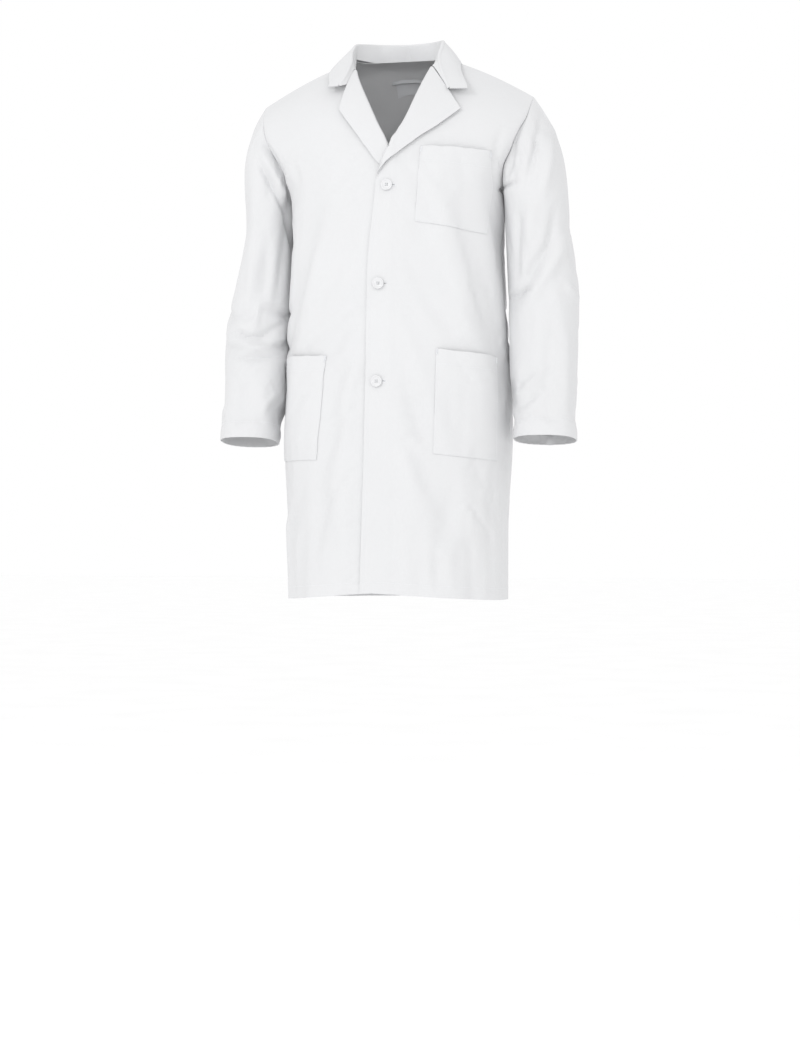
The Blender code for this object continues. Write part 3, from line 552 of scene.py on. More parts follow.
def simulated():
    """Each panel's and each sleeve's movement when the slack cloth settles, as fields."""
    fields, holds = {}, []
    panels = [(side, back) for side in (1, -1) for back in (False, True)]
    grids = [panel_grid(*panel, 97, 25) for panel in panels]
    for (side, back), (v, angle, _, _) in zip(panels, grids):
        hold = LOOSE + (0.5 - LOOSE) * smooth(0.72, 0.86, v) + 0.5 * smooth(0.9, 0.97, v)
        edge = 0.35 * (1 - smooth(0.10, 0.22, angle)) * (1 - back) + 0 * v
        holds.append(np.clip(np.maximum(hold + 0 * angle, edge), 0, 1))
    points, faces, hold, where = welded([grid[2] for grid in grids], holds)
    moves = simulate(points, faces, hold)[where].reshape(len(panels), *grids[0][2].shape)
    for panel, (v, angle, _, normal), move in zip(panels, grids, moves):
        kept = 1 - smooth(0.76, 0.88, v)
        if not panel[1]:
            kept = kept * (0.15 + 0.85 * smooth(0.12, 0.30, angle))
        move = limited(move, normal) * (kept + 0 * angle)[..., None]
        fields[panel] = Field((0, 0), (1, math.pi / 2), move)
    for side in (1, -1):
        row, turn, grid, normal = sleeve_grid(side, 73, 57)
        hold = LOOSE + (1 - LOOSE) * (1 - smooth(0.0, 0.10, row)) + 0.2 * smooth(0.93, 1, row)
        points, faces, hold, where = welded([grid], [np.clip(hold + 0 * turn, 0, 1)])
        move = simulate(points, faces, hold)[where].reshape(grid.shape)
        move = limited(move, normal) * smooth(0, 0.06, row)[..., None]
        fields[side] = Field((0, -1), (1, 1), move)
    return fields


def settle():
    """Each panel's and each sleeve's movements as a field: what the simulation found, and the
    folds."""
    fields, slack = {}, simulated()

    def found(key, a, b):
        return slack[key](a, b) if key in slack else 0

    for side in (1, -1):
        for back in (False, True):
            v, angle, plain, normal = panel_grid(side, back, 201, 65)
            height = relief(plain, normal)
            calm = smooth(0.06, 0.45, angle) * (1 - smooth(1.2, 1.5, angle))
            low = (1 - smooth(0, 0.42, v)) ** 2
            for count, phase, wave in HEM_WAVES:
                turned = count * (angle if side > 0 else math.pi - angle) + (2.1 if back else 0)
                height = height + wave * np.sin(turned + phase) * calm * low
            height = height * (1 - smooth(0.975, 1.0, v))
            move = normal * height[..., None] + found((side, back), v, angle)
            fields[side, back] = Field((0, 0), (1, math.pi / 2), move)
        row, turn, plain, normal = sleeve_grid(side, 161, 129)
        gathers = np.sin(CAP_WAVES * math.pi * turn) * np.sin(math.pi * np.clip(row / 0.14, 0, 1))
        gathers = CAP_PUCKER * gathers * (0.3 + 0.7 * np.sin(5.3 * turn + side) ** 2)
        move = normal * (relief(plain, normal) + gathers)[..., None] + found(side, row, turn)
        blend = smooth(0.9, 1.0, np.abs(turn))[..., None]
        move = move * (1 - blend) + (move + move[:, ::-1]) / 2 * blend
        fields[side] = Field((0, -1), (1, 1), move)
    return fields


# ---------------------------------------------------------------- the settled surfaces
settled = settle()


def body(side, back, angle, v):
    """A point of the settled body surface. A negative angle goes on past the middle, onto the
    other half of a front."""
    angle, v = arrays(angle, v)
    own, other = settled[side, back](v, np.abs(angle)), settled[-side, back](v, np.abs(angle))
    return plain_body(side, back, angle, v) + np.where((angle < 0)[..., None], other, own)


def sleeve(side, turn, row):
    """A point of the settled sleeve. At the armhole it meets the body's edge exactly."""
    turn, row = arrays(turn, row)
    v = 1 - (1 - ARMPIT_V) * np.clip(np.abs(turn), 0, 1)
    edge = np.where(
        (turn > 0)[..., None], settled[side, True](v, 0 * v + math.pi / 2),
        settled[side, False](v, 0 * v + math.pi / 2),
    )
    own = settled[side](row, turn)
    near = (1 - smooth(0, 0.06, row))[..., None]
    return plain_sleeve(side, turn, row) + own + (edge - settled[side](0 * row, turn)) * near


def normal_of(surface, a, b, step_a, step_b, sign):
    along = surface(a + step_a, b) - surface(a - step_a, b)
    up = surface(a, b + step_b) - surface(a, b - step_b)
    return sign * unit(np.cross(along, up))


def body_normal(side, back, angle, v):
    """The surface's normal, taken a little inside the side seam and the ends."""

    def surface(angle, v):
        return body(side, back, angle, v)

    angle, v = np.minimum(angle, EDGE), np.clip(v, 0.004, 0.996)
    return normal_of(surface, angle, v, 0.012, 0.003, -side if back else side)


def off_body(side, back, angle, v, out):
    angle, v = arrays(angle, v)
    out = np.asarray(out, float)[..., None]
    return body(side, back, angle, v) + body_normal(side, back, angle, v) * out


def off_sleeve(side, turn, row, out):
    turn, row = arrays(turn, row)

    def whole(turn, row):
        return sleeve(side, (turn + 1) % 2 - 1, row)

    normal = normal_of(whole, turn, np.clip(row, 0.004, 0.996), 0.01, 0.004, -side)
    return sleeve(side, turn, row) + normal * np.asarray(out, float)[..., None]


def lift(side, x, v):
    """How far this front's cloth stands outside the body's surface at x, own sense. The left
    one lies over the right one, whose edge shows through it as a soft step."""
    x, v = arrays(x, v)
    if side < 0:
        return np.zeros(x.shape)
    step = 1 - 0.45 * smooth(0.018, 0.027, x) - 0.55 * smooth(0.027, 0.085, x)
    tucked = smooth(0.69, 0.745, v) * (1 - smooth(0.785, 0.84, v))
    tucked = tucked * np.exp(-(((x - 0.016) / 0.020) ** 2))
    return LEFT_OVER_RIGHT * step * (1 - smooth(0.785, 0.86, v)) + OVER_LAPEL * tucked


def on_front(side, x, z):
    """(angle, v) of the front's point seen at x, in this half's own sense, and z."""
    x, z = arrays(x, z)
    low, high = np.zeros(x.shape), np.ones(x.shape)
    for _ in range(28):
        v = (low + high) / 2
        inner, outer = inner_line(side, False, v), OUTER[False](v)
        across = (x - inner[..., 0]) / (outer[..., 0] - inner[..., 0])
        height = inner[..., 2] + (outer[..., 2] - inner[..., 2]) * np.abs(across)
        above = height + shoulder_rise(across, v) > z
        low, high = np.where(above, low, v), np.where(above, v, high)
    return np.arcsin(np.clip(across, -1, 1)), v


def front_at(side, x, z, out):
    """The point at x, z in the front's own sense, this far outside the front's own surface."""
    angle, v = on_front(side, x, z)
    return off_body(side, False, angle, v, out + lift(side, x, v))


def front_sheet(side, column, v):
    """The outside of the front's cloth. column is -1 at the side seam, 0 at the centre front or
    the roll line, and 1 at the free edge, which the lapel turns back."""
    column, v = arrays(column, v)
    start = inner_line(side, False, v)[..., 0]
    width = OUTER[False](v)[..., 0] - start

    def flat_at(column):
        angle = np.where(column <= 0, -column * math.pi / 2, -column * OVERLAP / width)
        return off_body(side, False, angle, v, lift(side, start + width * np.sin(angle), v))

    # Above FOLD_FOOT the cloth beyond the roll line is turned over. The line runs from the free
    # edge there to the centre at FOLD_TOP.
    line_at = np.clip((FOLD_TOP - v) / (FOLD_TOP - FOLD_FOOT), 0, 1)
    share = np.clip((column - line_at) / np.maximum(1 - line_at, 1e-6), 0, 1)
    if not (share > 0).any():
        return flat_at(column)
    radius = ROLL_R * smooth(0, 0.6, 1 - line_at)
    if side < 0:  # the right one lies tighter where the left front covers it
        radius = radius * (0.5 + 0.5 * smooth(FOLD_TOP, 0.88, v))
    root = flat_at(line_at)
    out = body_normal(side, False, -line_at * OVERLAP / width, v)
    root_x, root_z = side * root[..., 0], root[..., 2]
    edge = lapel_edge[side](v)
    edge_x = edge[..., 0] + side * twist(v)[..., 0]

    def rolled(part):
        turn = (math.pi * part)[..., None]
        inward = np.array([-side, 0, 0]) * radius[..., None] * np.sin(turn)
        return root + inward + out * radius[..., None] * (1 - np.cos(turn))

    def beyond(part):
        belly = LAPEL_BELLY * np.sin(math.pi * part) * smooth(0.78, 0.86, v)
        return front_at(
            side, root_x + (edge_x - root_x) * part, root_z + (edge[..., 1] - root_z) * part,
            2 * radius - LAPEL_SINK * part * radius / ROLL_R + belly,
        )

    part = np.clip((share - ROLL_C) / (1 - ROLL_C), 0, 1)
    join = rolled(0 * v + 1) - beyond(0 * v)
    lapel = beyond(part) + join * ((1 - part) ** 5)[..., None]
    near = rolled(np.clip(share / ROLL_C, 0, 1))
    turned = np.where((share < ROLL_C)[..., None], near, lapel)
    return np.where((share > 0)[..., None], turned, flat_at(column))


# ---------------------------------------------------------------- making meshes
def steps(low, high, length, close=(True, True), pitch=PITCH):
    """Places from low to high over this length in metres, closer together near the ends that
    are seams or edges."""
    near = np.array([0, 0.0007, 0.0014, 0.0022, 0.0032, 0.0045])
    first = near if close[0] else near[:1]
    last = (length - near[::-1]) if close[1] else np.array([length])
    count = max(int(round((last[0] - first[-1]) / pitch)), 1)
    middle = np.linspace(first[-1], last[0], count + 1)[1:-1]
    return low + (high - low) * np.concatenate([first, middle, last]) / length


def arc_lengths(grid, axis):
    step = np.linalg.norm(np.diff(grid, axis=axis), axis=-1)
    zero = np.zeros_like(step[:1] if axis == 0 else step[:, :1])
    return np.concatenate([zero, np.cumsum(step, axis=axis)], axis=axis)


def add_mesh(name, points, faces, uv=None, sharp=45):
    mesh = bpy.data.meshes.new(name)
    mesh.from_pydata(np.asarray(points, float).tolist(), [], [list(map(int, f)) for f in faces])
    mesh.update()
    if uv is not None:
        loops = np.empty(len(mesh.loops), int)
        mesh.loops.foreach_get("vertex_index", loops)
        layer = mesh.uv_layers.new(name="cloth")
        layer.data.foreach_set("uv", np.asarray(uv)[loops].ravel())
    mesh.shade_smooth()
    mesh.set_sharp_from_angle(angle=math.radians(sharp))
    piece = bpy.data.objects.new(name, mesh)
    bpy.context.scene.collection.objects.link(piece)
    return piece


def cloth(name, grid, normals, outer, inner, keep=None):
    """Closed cloth on a grid, from this far outside it to this far, both along its normals.
    keep marks the cells that are cloth."""
    high, wide = grid.shape[:2]
    index = np.arange(high * wide).reshape(high, wide)
    cells = np.ones((high - 1, wide - 1), bool) if keep is None else keep
    corners = (index[:-1, :-1], index[:-1, 1:], index[1:, 1:], index[1:, :-1])
    quads = np.stack([c[cells] for c in corners], axis=1)
    along = np.cross(np.gradient(grid, axis=1), np.gradient(grid, axis=0))
    if (along * normals).sum() < 0:
        quads = quads[:, ::-1]
    total = high * wide
    edges = np.concatenate([quads[:, [k, (k + 1) % 4]] for k in range(4)])
    keys, back_keys = edges @ (total, 1), edges @ (1, total)
    rim = edges[~np.isin(keys, back_keys)]
    walls = np.column_stack([rim[:, 1], rim[:, 0], rim[:, 0] + total, rim[:, 1] + total])
    faces = np.concatenate([quads, quads[:, ::-1] + total, walls])
    outer, inner = (np.asarray(x, float)[..., None] for x in (outer, inner))
    points = np.vstack([(grid + normals * d).reshape(-1, 3) for d in (outer, inner)])
    flat = stacked(arc_lengths(grid, 1), arc_lengths(grid, 0)).reshape(-1, 2)
    used, faces = np.unique(faces, return_inverse=True)
    return add_mesh(name, points[used], faces.reshape(-1, 4), np.vstack([flat, flat])[used])


def join(name, parts):
    """Several pieces as one."""
    bpy.ops.object.select_all(action="DESELECT")
    for part in parts:
        part.select_set(True)
    bpy.context.view_layer.objects.active = parts[0]
    bpy.ops.object.join()
    parts[0].name = name
    parts[0].data.name = name
    return parts[0]


def flat_size(grid, keep=None):
    """(width, length, area) of the cloth on this grid, laid flat."""
    a, b, c, d = grid[:-1, :-1], grid[:-1, 1:], grid[1:, 1:], grid[1:, :-1]
    area = np.linalg.norm(np.cross(c - a, d - b), axis=-1) / 2
    if keep is not None:
        area = area[keep]
    width, length = arc_lengths(grid, 1)[:, -1].max(), arc_lengths(grid, 0)[-1].max()
    return float(width), float(length), float(area.sum())


def tube_faces(first, rings, around):
    """The faces of a closed tube whose rings of points start at this index."""
    faces = []
    for ring in range(rings - 1):
        for j in range(around):
            n, r = (j + 1) % around, first + ring * around
            faces.append((r + j, r + n, r + around + n, r + around + j))
    last = first + (rings - 1) * around
    faces.append([first + j for j in range(around)][::-1])
    faces.append([last + j for j in range(around)])
    return faces


def stitches(name, lines, out=0.0, length=STITCH, pitch=STITCH_PITCH, radius=THREAD_R):
    """Thread along each line of (points, normals): one small bead per stitch."""
    around = np.arange(BEAD_SIDES) * 2 * math.pi / BEAD_SIDES
    points, faces = [], []
    for path, normals in lines:
        run = arc_lengths(path[None], 1)[0]
        count = int(run[-1] / pitch)
        if count < 1:
            continue
        middles = (np.arange(count) + 0.5) * run[-1] / count
        centre = read_at(middles, run, path)
        ahead = unit(read_at(middles + 1e-4, run, path) - read_at(middles - 1e-4, run, path))
        up = unit(read_at(middles, run, normals))
        across = unit(np.cross(ahead, up))
        for k in range(count):
            faces += tube_faces(len(points), len(BEAD), BEAD_SIDES)
            for place, wide, rise in BEAD:
                middle = centre[k] + ahead[k] * place * length / 2 + up[k] * (out + rise * radius)
                for a in around:
                    spoke = across[k] * math.cos(a) + up[k] * math.sin(a)
                    points.append(middle + spoke * radius * wide)
    return add_mesh(name, points, faces, sharp=80)


def line_on(surface, sign, a, b, step_a=0.004, step_b=0.002):
    """(points, normals) along places a, b of a surface."""
    a, b = arrays(a, b)
    return surface(a, b), normal_of(surface, a, b, step_a, step_b, sign)


# ---------------------------------------------------------------- materials
def wired(tree, node, values, feeds, **settings):
    """Sets up a node, or makes one of this kind: settings first, then the inputs that keep a
    value and the ones that another node feeds."""
    if isinstance(node, str):
        node = tree.nodes.new(f"ShaderNode{node}")
    for name, value in settings.items():
        setattr(node, name, value)
    for name, value in values.items():
        node.inputs[name].default_value = value
    for name, source in feeds.items():
        tree.links.new(source, node.inputs[name])
    return node


def new_material(name):
    """A new material, with its nodes, its shader and the places that textures start from."""
    made = bpy.data.materials.new(name)
    made.use_nodes = True
    tree = made.node_tree
    return made, tree, tree.nodes["Principled BSDF"], tree.nodes.new("ShaderNodeTexCoord").outputs


def tones(tree, colour, dark, share):
    """The colour, mixed by share with one that is darker by this factor."""
    colours = {"A": (*[c * dark for c in colour], 1), "B": (*colour, 1)}
    return wired(tree, "Mix", colours, {"Factor": share}, data_type="RGBA").outputs["Result"]


def twill(name, colour, weave=0.00055, strength=0.25):
    """Woven cotton: fine diagonal ribs, threads of slightly uneven tone, and a soft sheen."""
    made, tree, shader, place = new_material(name)
    ribs = wired(
        tree, "TexWave", {"Scale": 0.31 / weave, "Distortion": 0.6, "Detail": 1, "Detail Scale": 2},
        {"Vector": place["UV"]}, wave_type="BANDS", bands_direction="DIAGONAL",
    )
    threads = wired(tree, "TexNoise", {"Scale": 240, "Detail": 3}, {"Vector": place["UV"]})
    worn = wired(tree, "TexNoise", {"Scale": 9, "Detail": 4}, {"Vector": place["Object"]})
    limp = wired(
        tree, "TexNoise", {"Scale": 42, "Detail": 3, "Roughness": 0.45},
        {"Vector": place["Object"]},
    )
    blend = wired(
        tree, "Math", {1: 0.5}, {0: threads.outputs["Fac"], 2: worn.outputs["Fac"]},
        operation="MULTIPLY_ADD",
    )
    soft = wired(
        tree, "Bump", {"Strength": 0.35, "Distance": 0.0012}, {"Height": limp.outputs["Fac"]}
    )
    fine = wired(
        tree, "Bump", {"Strength": strength, "Distance": 0.00012},
        {"Height": ribs.outputs["Fac"], "Normal": soft.outputs["Normal"]},
    )
    cotton = {
        "Roughness": 0.82, "Sheen Weight": 0.12, "Sheen Roughness": 0.5,
        "Specular IOR Level": 0.25,
    }
    tone = tones(tree, colour, 0.955, blend.outputs[0])
    wired(tree, shader, cotton, {"Base Color": tone, "Normal": fine.outputs["Normal"]})
    return made


def plain_material(name, colour, roughness, scale, depth, sheen=0.0):
    """A material with a little uneven tone and a fine bump."""
    made, tree, shader, place = new_material(name)
    noise = wired(
        tree, "TexNoise", {"Scale": scale, "Detail": 3}, {"Vector": place["Object"]}
    ).outputs["Fac"]
    rough = wired(
        tree, "MapRange", {"To Min": roughness - 0.06, "To Max": roughness + 0.06},
        {"Value": noise},
    )
    bump = wired(tree, "Bump", {"Strength": 0.3, "Distance": depth}, {"Height": noise})
    wired(
        tree, shader, {"Sheen Weight": sheen},
        {
            "Base Color": tones(tree, colour, 0.94, noise),
            "Roughness": rough.outputs["Result"], "Normal": bump.outputs["Normal"],
        },
    )
    return made


COTTON = twill("white_twill", (0.705, 0.708, 0.717))
THREAD = plain_material("white_thread", (0.80, 0.81, 0.83), 0.6, 2500, 0.0001, 0.1)
PLASTIC = plain_material("button_plastic", (0.725, 0.728, 0.738), 0.28, 60, 0.00005)
TAPE = twill("woven_tape", (0.78, 0.79, 0.81), 0.0009, 0.4)


# The pieces that cross a joint: where its cloth starts to leave the coat's body and where it has
# left.
BLENDS = {}
for side, word in SIDES:
    BLENDS[f"front_{word}_body"] = ((side * 0.137, 0, -0.50), (side * -0.050, 0, -0.523))
    BLENDS[f"sleeve_{word}_body"] = ((side * 0.215, 0, -0.172), (side * 0.319, 0, -0.250))


def finish_piece(piece, stuff, bodies, replaces=()):
    """Gives a piece its material and attaches it to one body; a front's or a sleeve's piece, which
    crosses a joint, only has its transform baked."""
    piece.data.materials.clear()
    piece.data.materials.append(stuff)
    if bodies in BLENDS:
        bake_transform(piece)
    else:
        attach(piece, bodies)
    if replaces:
        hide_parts(*replaces)


# ---------------------------------------------------------------- the fronts
BUTTON_V = {name: float(on_front(1, 0, z)[1]) for name, z in BUTTONS.items()}
SLIT_C = -BUTTONHOLE[1] / BODY_HALF / (math.pi / 2)  # the column where a buttonhole ends
HEM_TOP = (HEM + 0.001) / V_LENGTH


def rows_between(low, high, extra=()):
    length = V_LENGTH * (high - low)
    rows = np.concatenate([steps(low, high, length), np.asarray(extra, float)])
    rows = np.unique(np.round(rows, 6))
    return rows[np.concatenate([[True], np.diff(rows) > 1e-5])]


def front_columns():
    inner = -steps(0, 1, 0.25)[::-1]
    roll = steps(0, ROLL_C, 0.006, (False, False), 0.0010)
    return np.concatenate([inner[:-1], roll[:-1], steps(ROLL_C, 1, 0.05, (False, True), 0.0022)])


def sunk(columns, rows):
    """How far the cloth sinks beside the side seam, the armhole and the shoulder seam."""
    side = SEAM_DIP * np.exp(-(((columns + 1) * PANEL_WIDTH / SEAM_WIDE) ** 2))
    top = SEAM_DIP * np.exp(-(((1 - rows) * V_LENGTH / SEAM_WIDE) ** 2))
    return np.maximum(side[None], top[:, None])


def hemmed(name, grid, normals, outer, turned, keep=None):
    """Cloth on a grid whose rows marked by turned also have a second layer, the hem."""
    inner = outer[turned] - LAYER
    flat = cloth("tmp", grid, normals, outer, outer - CLOTH, keep)
    return join(name, [flat, cloth("tmp", grid[turned], normals[turned], inner, inner - CLOTH)])


def make_front(side, word):
    columns = front_columns()
    rows = rows_between(
        0, 1, [*np.arange(FOLD_FOOT - 0.01, 0.80, FOLD_PITCH), GORGE_V - 0.002, GORGE_V]
    )
    rows = rows[np.concatenate([[True], np.diff(rows) > 4e-4])]
    slits = BUTTON_V.values() if side > 0 else ()
    for v in slits:
        around = v + np.array([-0.0018, -0.00045, 0.00045, 0.0018])
        rows = np.sort(np.concatenate([rows[np.abs(rows - v) > 0.0022], around]))
    if side > 0:
        columns = np.sort(np.append(columns[np.abs(columns - SLIT_C) > 0.006], SLIT_C))
    grid = front_sheet(side, columns[None], rows[:, None])
    normals = grid_normals(grid, (side, -0.3, 0))
    middle_cols, middle_rows = (columns[1:] + columns[:-1]) / 2, (rows[1:] + rows[:-1]) / 2
    keep = ~((middle_cols[None] > 0) & (middle_rows[:, None] > GORGE_V))
    for v in slits:
        across = (middle_cols > SLIT_C) & (middle_cols < ROLL_C)
        keep &= ~((np.abs(middle_rows - v) < 0.0004)[:, None] & across[None])
    outer = -sunk(columns, rows)
    piece = hemmed(f"front_{word}_cloth", grid, normals, outer, rows <= HEM_TOP, keep)
    finish_piece(piece, COTTON, f"front_{word}_body", [f"front_{word}"])
    flat_size(grid, keep)
    inside = columns >= FACING_C
    grid, normals, outer = grid[:, inside], normals[:, inside], outer[:, inside] - 2 * LAYER
    keep = keep[:, inside[:-1]]
    facing = cloth(f"front_{word}_facing", grid, normals, outer, outer - CLOTH, keep)
    replaced = [f"front_facing_{word}", f"front_interlining_{word}"]
    finish_piece(facing, COTTON, f"front_{word}_body", replaced)
    flat_size(grid, keep)


# ---------------------------------------------------------------- the back
def make_back(side, word):
    angles = steps(0, math.pi / 2, PANEL_WIDTH)
    rows = rows_between(0, 1)
    grid = off_body(side, True, angles[None], rows[:, None], 0)
    normals = grid_normals(grid, (0, 1, 0))
    share = angles / (math.pi / 2)
    middle = SEAM_DIP * np.exp(-((share * PANEL_WIDTH / SEAM_WIDE) ** 2))
    outer = -np.maximum(sunk(-share, rows), middle[None])
    piece = hemmed(f"back_{word}_cloth", grid, normals, outer, rows <= HEM_TOP)
    finish_piece(piece, COTTON, "coat_body", [f"back_{word}"])
    flat_size(grid)


def both_backs(angle, v, out):
    """Like off_body on the back, with a signed angle: positive on the wearer's left."""
    angle, v = arrays(angle, v)
    left, right = (off_body(side, True, np.abs(angle), v, out) for side in (1, -1))
    return np.where((angle >= 0)[..., None], left, right)


def make_inner_piece(name, node, reach, low, high, counts, out):
    """Cloth inside the back, this many degrees to either side of the middle."""
    angles = np.radians(np.linspace(-reach, reach, counts[0]))
    rows = np.linspace(low, high, counts[1])
    grid = both_backs(angles[None], rows[:, None], out)
    piece = cloth(name, grid, grid_normals(grid, (0, 1, 0)), 0, -CLOTH)
    finish_piece(piece, COTTON, "coat_body", [node])
    flat_size(grid)


def inside_back(x, v, out):
    angle = np.arcsin(np.clip(x / OUTER[True](v)[..., 0], -1, 1))
    return both_backs(angle, v, -out)


def make_label():
    x, rows = np.linspace(-0.026, 0.026, 15)[None], np.linspace(0.862, 0.882, 8)[:, None]
    grid = inside_back(*np.broadcast_arrays(x, rows), 0.0046)
    piece = cloth("blank_label", grid, grid_normals(grid, (0, -1, 0)), 0, -0.0004)
    finish_piece(piece, TAPE, "coat_body", ["neck_label"])
    flat_size(grid)


def make_hanger_loop():
    """A short tape that stands off the back between its two ends."""
    half, wide = 0.030, 0.006
    x, up = np.linspace(-half, half, 41)[None], np.linspace(-wide, 0, 5)[:, None]
    x, up = np.broadcast_arrays(x, up)
    out = 0.0062 + 0.0085 * (1 - (np.abs(x) / half) ** 4)
    grid = inside_back(x, 0 * x + NECK_V - 0.006, out) + stacked(0 * up, 0 * up, up)
    piece = cloth("hanger_tape", grid, grid_normals(grid, (0, -1, 0)), 0, -0.0008)
    finish_piece(piece, TAPE, "coat_body", ["hanger_loop"])


# ---------------------------------------------------------------- the collar
def collar_seam(w):
    """The collar's seam line: the back neckline, the front neckline, then the lapel's top."""
    side, w = np.where(w >= 0, 1, -1), np.abs(w)
    v_back = np.clip(NECK_V + (1 - NECK_V) * w / SHOULDER_W, NECK_V, 1)
    x, y, z = np.moveaxis(INNER[True](v_back), -1, 0)
    back = stacked(side * (x - 0.0012 * smooth(0, 0.1, w)), y - 0.001, z + 0.0018)
    v_front = np.clip(1 - (1 - GORGE_V) * (w - SHOULDER_W) / (GORGE_W - SHOULDER_W), GORGE_V, 1)
    column = np.clip(ROLL_C + (NOTCH_C - ROLL_C) * (w - GORGE_W) / (1 - GORGE_W), ROLL_C, NOTCH_C)
    front, lapel = np.empty(back.shape), np.empty(back.shape)
    for s in (1, -1):
        own = side == s
        root = body(s, False, 0 * w, v_front)
        front[own] = (root + np.array([-s * 0.0012, 0, 0.0018]))[own]
        top = front_sheet(s, column, 0 * w + GORGE_V)
        below = front_sheet(s, column, 0 * w + GORGE_V - 0.01)
        lapel[own] = (top + unit(top - below) * 0.0026 + np.array([0, -0.0010, 0.0012]))[own]
    point = np.where((w <= SHOULDER_W)[..., None], back, front)
    return np.where((w > GORGE_W)[..., None], lapel, point)


def collar_sheet(w, s):
    """A point of the collar: s runs from 0 to 1 up the stand, to 2 over the roll, to 3 down the
    fall. Its two ends differ a little, and its right half lies higher."""
    w, s = arrays(w, s)
    side = np.where(w >= 0, 1, -1)
    lines = collar_lines(np.abs(w))
    seam = collar_seam(w)
    end = smooth(0.74, 1, np.abs(w))
    aside, fall_aside = COLLAR_ASIDE * end * np.where(side > 0, 1, 0.25), COLLAR_ASIDE * end
    drop = side * COLLAR_TILT * end
    high = np.where(side < 0, 1, 0) * np.sin(math.pi * np.clip(np.abs(w) / 0.9, 0, 1)) ** 2
    roll = stacked(side * lines[..., 0] + aside, lines[..., 1], lines[..., 2] - drop)
    edge_x = side * lines[..., 3] + fall_aside - 0.006 * high
    edge_z = lines[..., 5] - drop + 0.005 * high
    edge = stacked(edge_x, lines[..., 4], edge_z)
    away = unit((edge - roll) * np.array([1, 1, 0]))
    radius = (ROLL_R * (1 - 0.35 * smooth(0.8, 1, np.abs(w))))[..., None]
    up = np.array([0, 0, 1.0])
    centre = roll - up * radius
    s = s[..., None]
    stand = seam + (centre - away * radius - seam) * np.clip(s, 0, 1)
    turn = math.pi * np.clip(s - 1, 0, 1)
    arc = centre - away * radius * np.cos(turn) + up * radius * np.sin(turn)
    fall_s = np.clip(s - 2, 0, 1)
    fall = centre + away * radius + (edge - centre - away * radius) * fall_s
    fall_out = unit(np.cross(edge - roll, np.cross(up, away)))
    fall_out = np.where(fall_out[..., 2:] < 0, -fall_out, fall_out)
    fall = fall + fall_out * 0.0022 * np.sin(math.pi * fall_s) * (1 - end[..., None])
    return np.where(s <= 1, stand, np.where(s < 2, arc, fall))


def make_collar():
    places = np.concatenate([-np.linspace(0, 1, 76)[::-1], np.linspace(0, 1, 76)[1:]])
    across = np.concatenate([np.linspace(0, 2, 17)[:-1], np.linspace(2, 3, 15)])
    grid = collar_sheet(places[:, None], across[None])
    normals = grid_normals(grid)
    if normals[75, -1, 1] < 0:  # on the fall, at the middle of the back
        normals = -normals
    upper = cloth("collar_upper_cloth", grid, normals, LAYER + CLOTH / 2, LAYER - CLOTH / 2)
    under = cloth("collar_under_cloth", grid, normals, -LAYER + CLOTH, -LAYER)
    finish_piece(upper, COTTON, "coat_body", ["upper_collar", "collar_interlining"])
    finish_piece(under, COTTON, "coat_body", ["under_collar"])
    size = flat_size(grid)


# ---------------------------------------------------------------- the sleeves
def make_sleeve(side, word):
    turns = np.linspace(-1, 1, 97)
    rows = steps(0, 1, SLEEVE_LENGTH)
    grid = off_sleeve(side, turns[None], rows[:, None], 0)
    normals = grid_normals(grid, (-side, 0, 0))
    grid[:, -1], normals[:, -1] = grid[:, 0], normals[:, 0]
    dips = SEAM_DIP * np.exp(-((rows * SLEEVE_LENGTH / SEAM_WIDE) ** 2))[:, None] + 0 * turns[None]
    piece = cloth(f"sleeve_{word}_cloth", grid, normals, -dips, -dips - CLOTH)
    cuff = rows >= 1 - (CUFF_HEM + 0.001) / SLEEVE_LENGTH
    finish_piece(piece, COTTON, f"sleeve_{word}_body", [f"sleeve_{word}"])
    outer = -LAYER - 0.0001
    facing = cloth(f"cuff_{word}_turnup", grid[cuff], normals[cuff], outer, outer - CLOTH)
    finish_piece(facing, COTTON, f"sleeve_{word}_body", [f"cuff_facing_{word}"])
    flat_size(grid)
    flat_size(grid[cuff])


# ---------------------------------------------------------------- pockets
POCKET_SEAMS = (0.0022, 0.0075)  # from the edge


def pocket_size(place):
    """A pocket's width along its mouth and its height along its inner edge."""
    return math.dist(place[0], place[1]), math.dist(place[0], place[3])


def pocket_point(side, place, u, t, out=0.0):
    """A point of a patch pocket: u across, t up. Its mouth stands a little open."""
    u, t = arrays(u, t)
    (ax, az), (bx, bz), (cx, cz), (dx, dz) = place
    x = (ax + (bx - ax) * u) * t + (dx + (cx - dx) * u) * (1 - t)
    z = (az + (bz - az) * u) * t + (dz + (cz - dz) * u) * (1 - t)
    wide, tall = pocket_size(place)
    edge = np.minimum(np.minimum(u, 1 - u) * wide, t * tall)
    puff = 0.0014 * (1 - np.exp(-edge / 0.006))
    puff -= 0.0006 * np.exp(-(((edge - POCKET_SEAMS[1]) / 0.0014) ** 2))
    mouth = 0.0055 * np.sin(math.pi * np.clip(u, 0, 1)) ** 0.8 * smooth(0.3, 1, t) ** 1.5
    return front_at(side, x, z, 0.0011 + puff + mouth + out)


